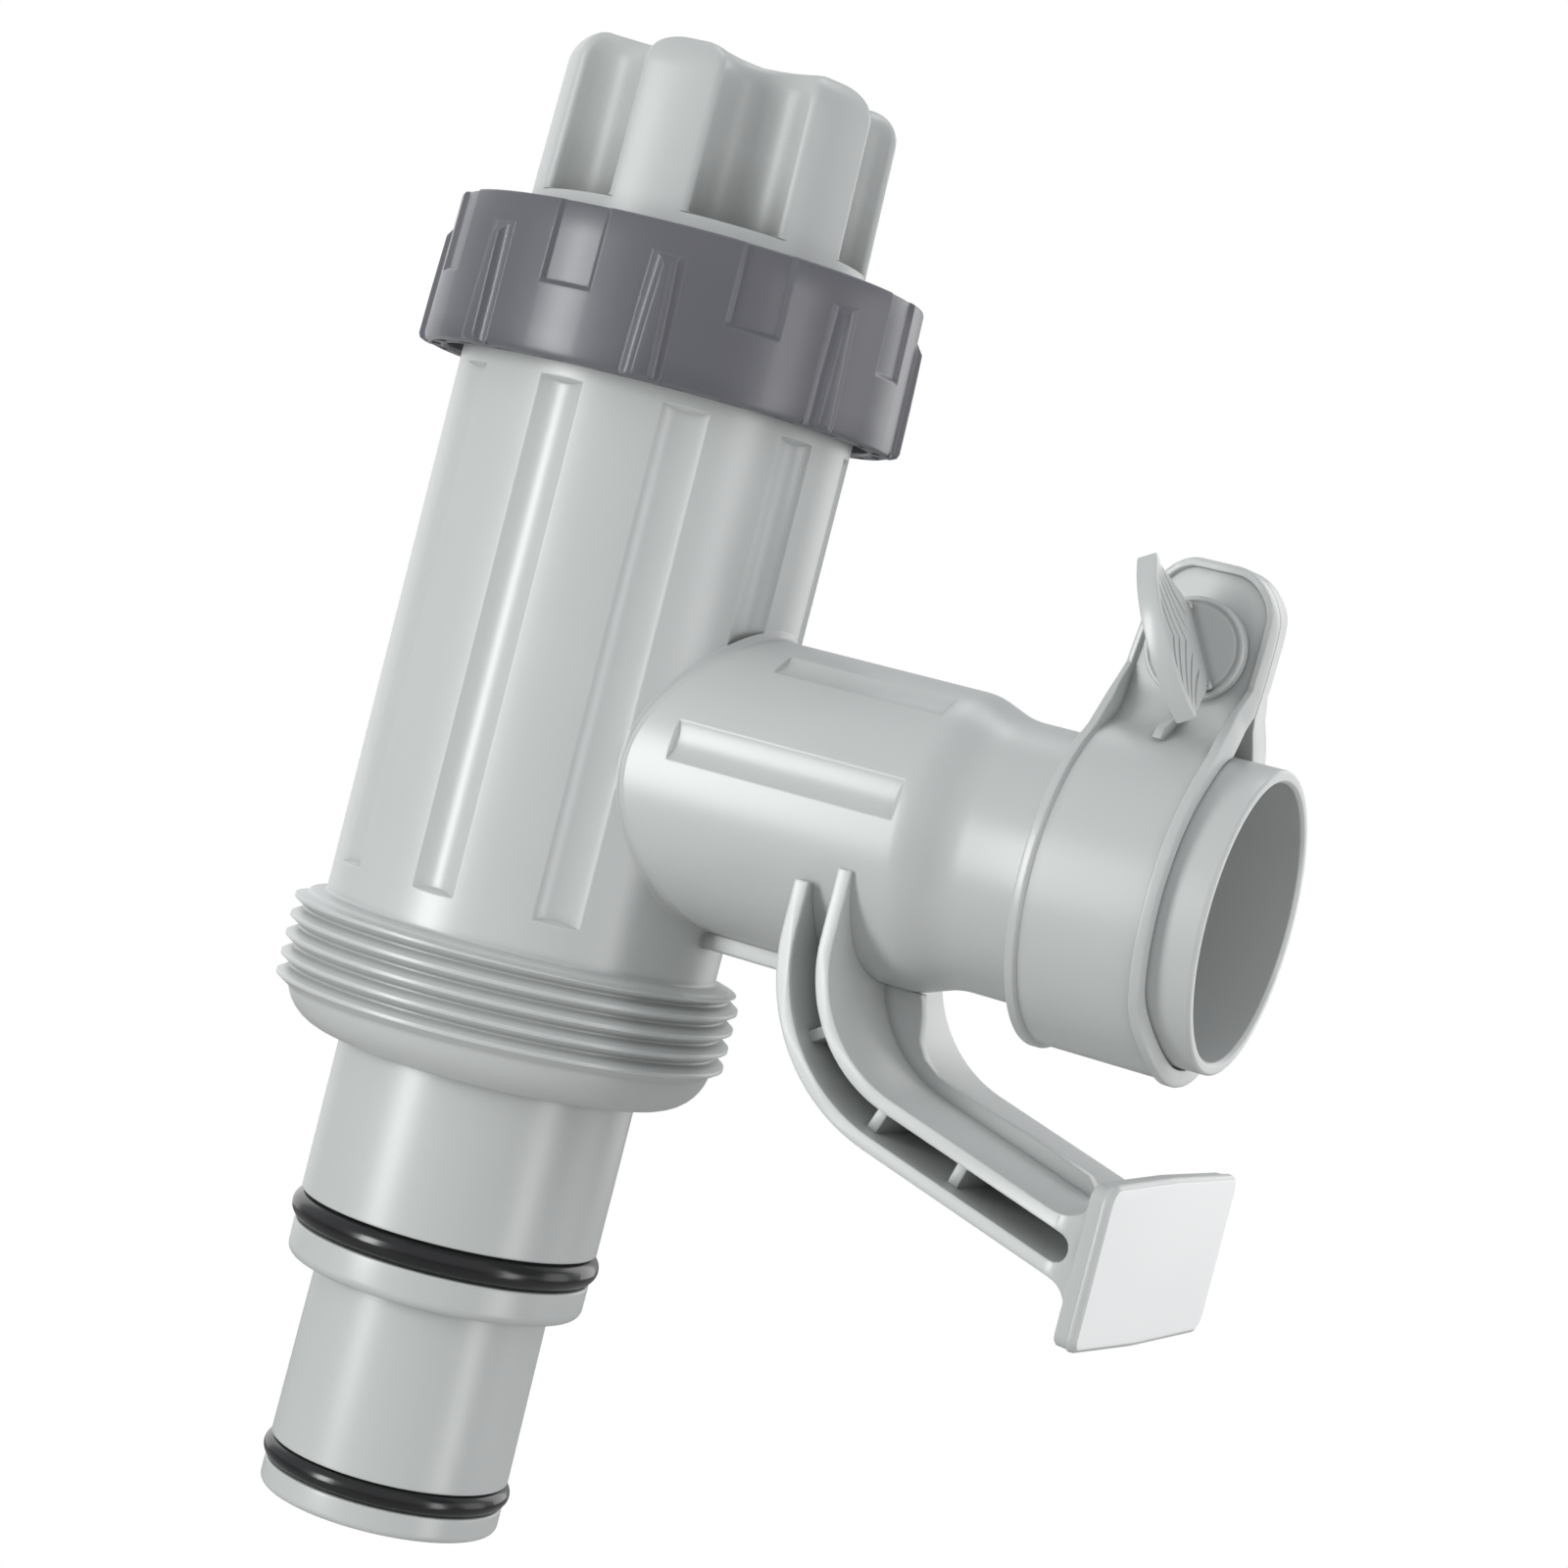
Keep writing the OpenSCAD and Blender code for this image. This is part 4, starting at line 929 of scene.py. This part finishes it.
def bentLine(points, swing, steps=8):
    out = []
    for a, b in zip(points, points[1:]):
        a, b = Vector(a), Vector(b)
        aside = Vector((a.y - b.y, b.x - a.x)).normalized() * swing
        out += [a.lerp(b, k / steps) + aside * 4 * (k / steps) * (1 - k / steps) for k in range(steps)]
    return out + [Vector(points[-1])]


def makeGrooveCutters(s):
    bm = bmesh.new()
    wide, deep, face = s["grooveHalf"], s["grooveDeep"], s["thick"] / 2
    for starts, ends in s["grooves"]:
        arms = [[(-ends[0], ends[1]), starts, ends]] if starts[0] == 0 else [
            [starts, ends], [(-ends[0], ends[1]), (-starts[0], starts[1])]]
        for arm in arms:
            line = bentLine(arm, s["swing"])
            for level in (-1, 1):
                rings = []
                for k, p in enumerate(line):
                    along = (line[min(k + 1, len(line) - 1)] - line[max(k - 1, 0)]).normalized()
                    aside = Vector((-along.y, along.x))
                    share = min(1.0, 0.25 + k / 2, 0.25 + (len(line) - 1 - k) / 2)
                    ring = [(p + aside * wide * share, face + 0.05), (p - aside * wide * share, face + 0.05),
                            (p, face - deep * share)]
                    rings.append([(q.x, -q.y, level * high) for q, high in ring])
                skin(bm, rings, caps=True)
    return pieceFrom("gripGrooves", bm)


def makeWingPlate(s):
    outline = [(-u, w) for u, w in s["side"]] + wingArc(s, s["plateBack"])[1:-1] + s["side"][::-1]
    plate = slab("wingPlate", outline, s["thick"], s["bevel"])
    cut(plate, makeGrooveCutters(s))
    rim = slab("wingRim", wingArc(s) + wingArc(s, s["rimWide"])[::-1], s["rimThick"], s["bevel"])
    parts, (aside, down) = [plate, rim], s["bumpAt"]
    for u in (-aside, aside):
        bump = turned("wingBump", s["bump"], 20, 40)
        bump.data.transform(Matrix.Translation((u * mm, down * mm, 0)))
        parts.append(bump)
    return joined("wingPlateAll", parts)


def makeWing(s):
    place = Matrix.Translation([c * mm for c in s["place"]])
    wing = makeWingPlate(s)
    toFace = Matrix(((0, 0, 1, 0), (0, 1, 0, 0), (1, 0, 0, 0), (0, 0, 0, 1)))
    wing.data.transform(place @ Matrix.Rotation(math.radians(s["turn"]), 4, "Y") @ toFace)
    disc = turned("wingHead", s["head"], 96, 34)
    disc.data.transform(place @ Matrix.Rotation(math.radians(-90), 4, "X"))
    wingAll = joined("wingScrewLook", [wing, disc])
    bm = bmesh.new()
    bm.from_mesh(wingAll.data)
    bmesh.ops.recalc_face_normals(bm, faces=bm.faces)
    bm.to_mesh(wingAll.data)
    bm.free()
    smoothMesh(wingAll.data, 36)
    dress(wingAll, "body_plastic", "wing", ["wing_screw"])


# foot bracket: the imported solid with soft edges, its plate cut off and drawn as a pad in layers
padSet = {"back": 92.3, "corners": [(-25.0, 52.8, 1.8), (-2.0, 51.9, 40), (25.0, 51.7, 2.8), (25.0, 72.4, 2.0),
                                    (0.0, 72.9, 40), (-25.0, 72.7, 2.6)], "filletSteps": 8,
          "layers": [(-0.05, 1.2), (0.05, 0.6), (0.35, 0.3), (1.7, 0.22), (1.8, 0.05), (2.0, 0.0), (2.5, 0.06),
                     (2.8, 0.26), (2.95, 0.55), (3.0, 0.95)],
          "cutEnd": 120, "cutter": [(-40, 40), (40, 40), (40, 90), (-40, 90)], "weld": 2e-6, "flat": 0.6,
          "soften": 0.35, "sharp": 32, "faceFrom": 2.6, "facing": 0.97}


def makePad(s):
    outline = rounded(s["corners"], s["filletSteps"])
    return skinned("footPad", [[(s["back"] + x, y, z) for y, z in inset(outline, depth)]
                               for x, depth in s["layers"]], 50)


def makeBracket(s):
    bracket = linkMesh("bracket", frame["nodes"]["foot_bracket"].data.copy())
    cut(bracket, skinned("plateCutter", [[(x, y, z) for y, z in s["cutter"]] for x in (s["back"], s["cutEnd"])]))
    bm = bmesh.new()
    bm.from_mesh(bracket.data)
    bmesh.ops.remove_doubles(bm, verts=bm.verts, dist=s["weld"])
    bmesh.ops.dissolve_limit(bm, angle_limit=math.radians(s["flat"]), verts=bm.verts, edges=bm.edges)
    bm.to_mesh(bracket.data)
    bm.free()
    mod = bracket.modifiers.new("soften", "BEVEL")
    mod.width, mod.segments, mod.limit_method = s["soften"] * mm, 3, "ANGLE"
    mod.angle_limit, mod.harden_normals, mod.use_clamp_overlap = math.radians(s["sharp"]), False, True
    applied(bracket)
    piece = joined("footBracketLook", [bracket, makePad(s)])
    smoothMesh(piece.data, 40)
    dress(piece, "body_plastic", "valve", ["foot_bracket"])
    piece.data.materials.append(padFinish)
    for face in piece.data.polygons:
        if face.normal.x > s["facing"] and face.center.x > (s["back"] + s["faceFrom"]) * mm:
            face.material_index = 1


makeValve()
print("valve body made")
makeNut(nutSet)
makePlungerHandle(handleSet)
print("nut and handle made")
makeClamp(clampSet)
makeWing(wingSet)
makeBracket(padSet)
print("bracket, clamp and wing made")
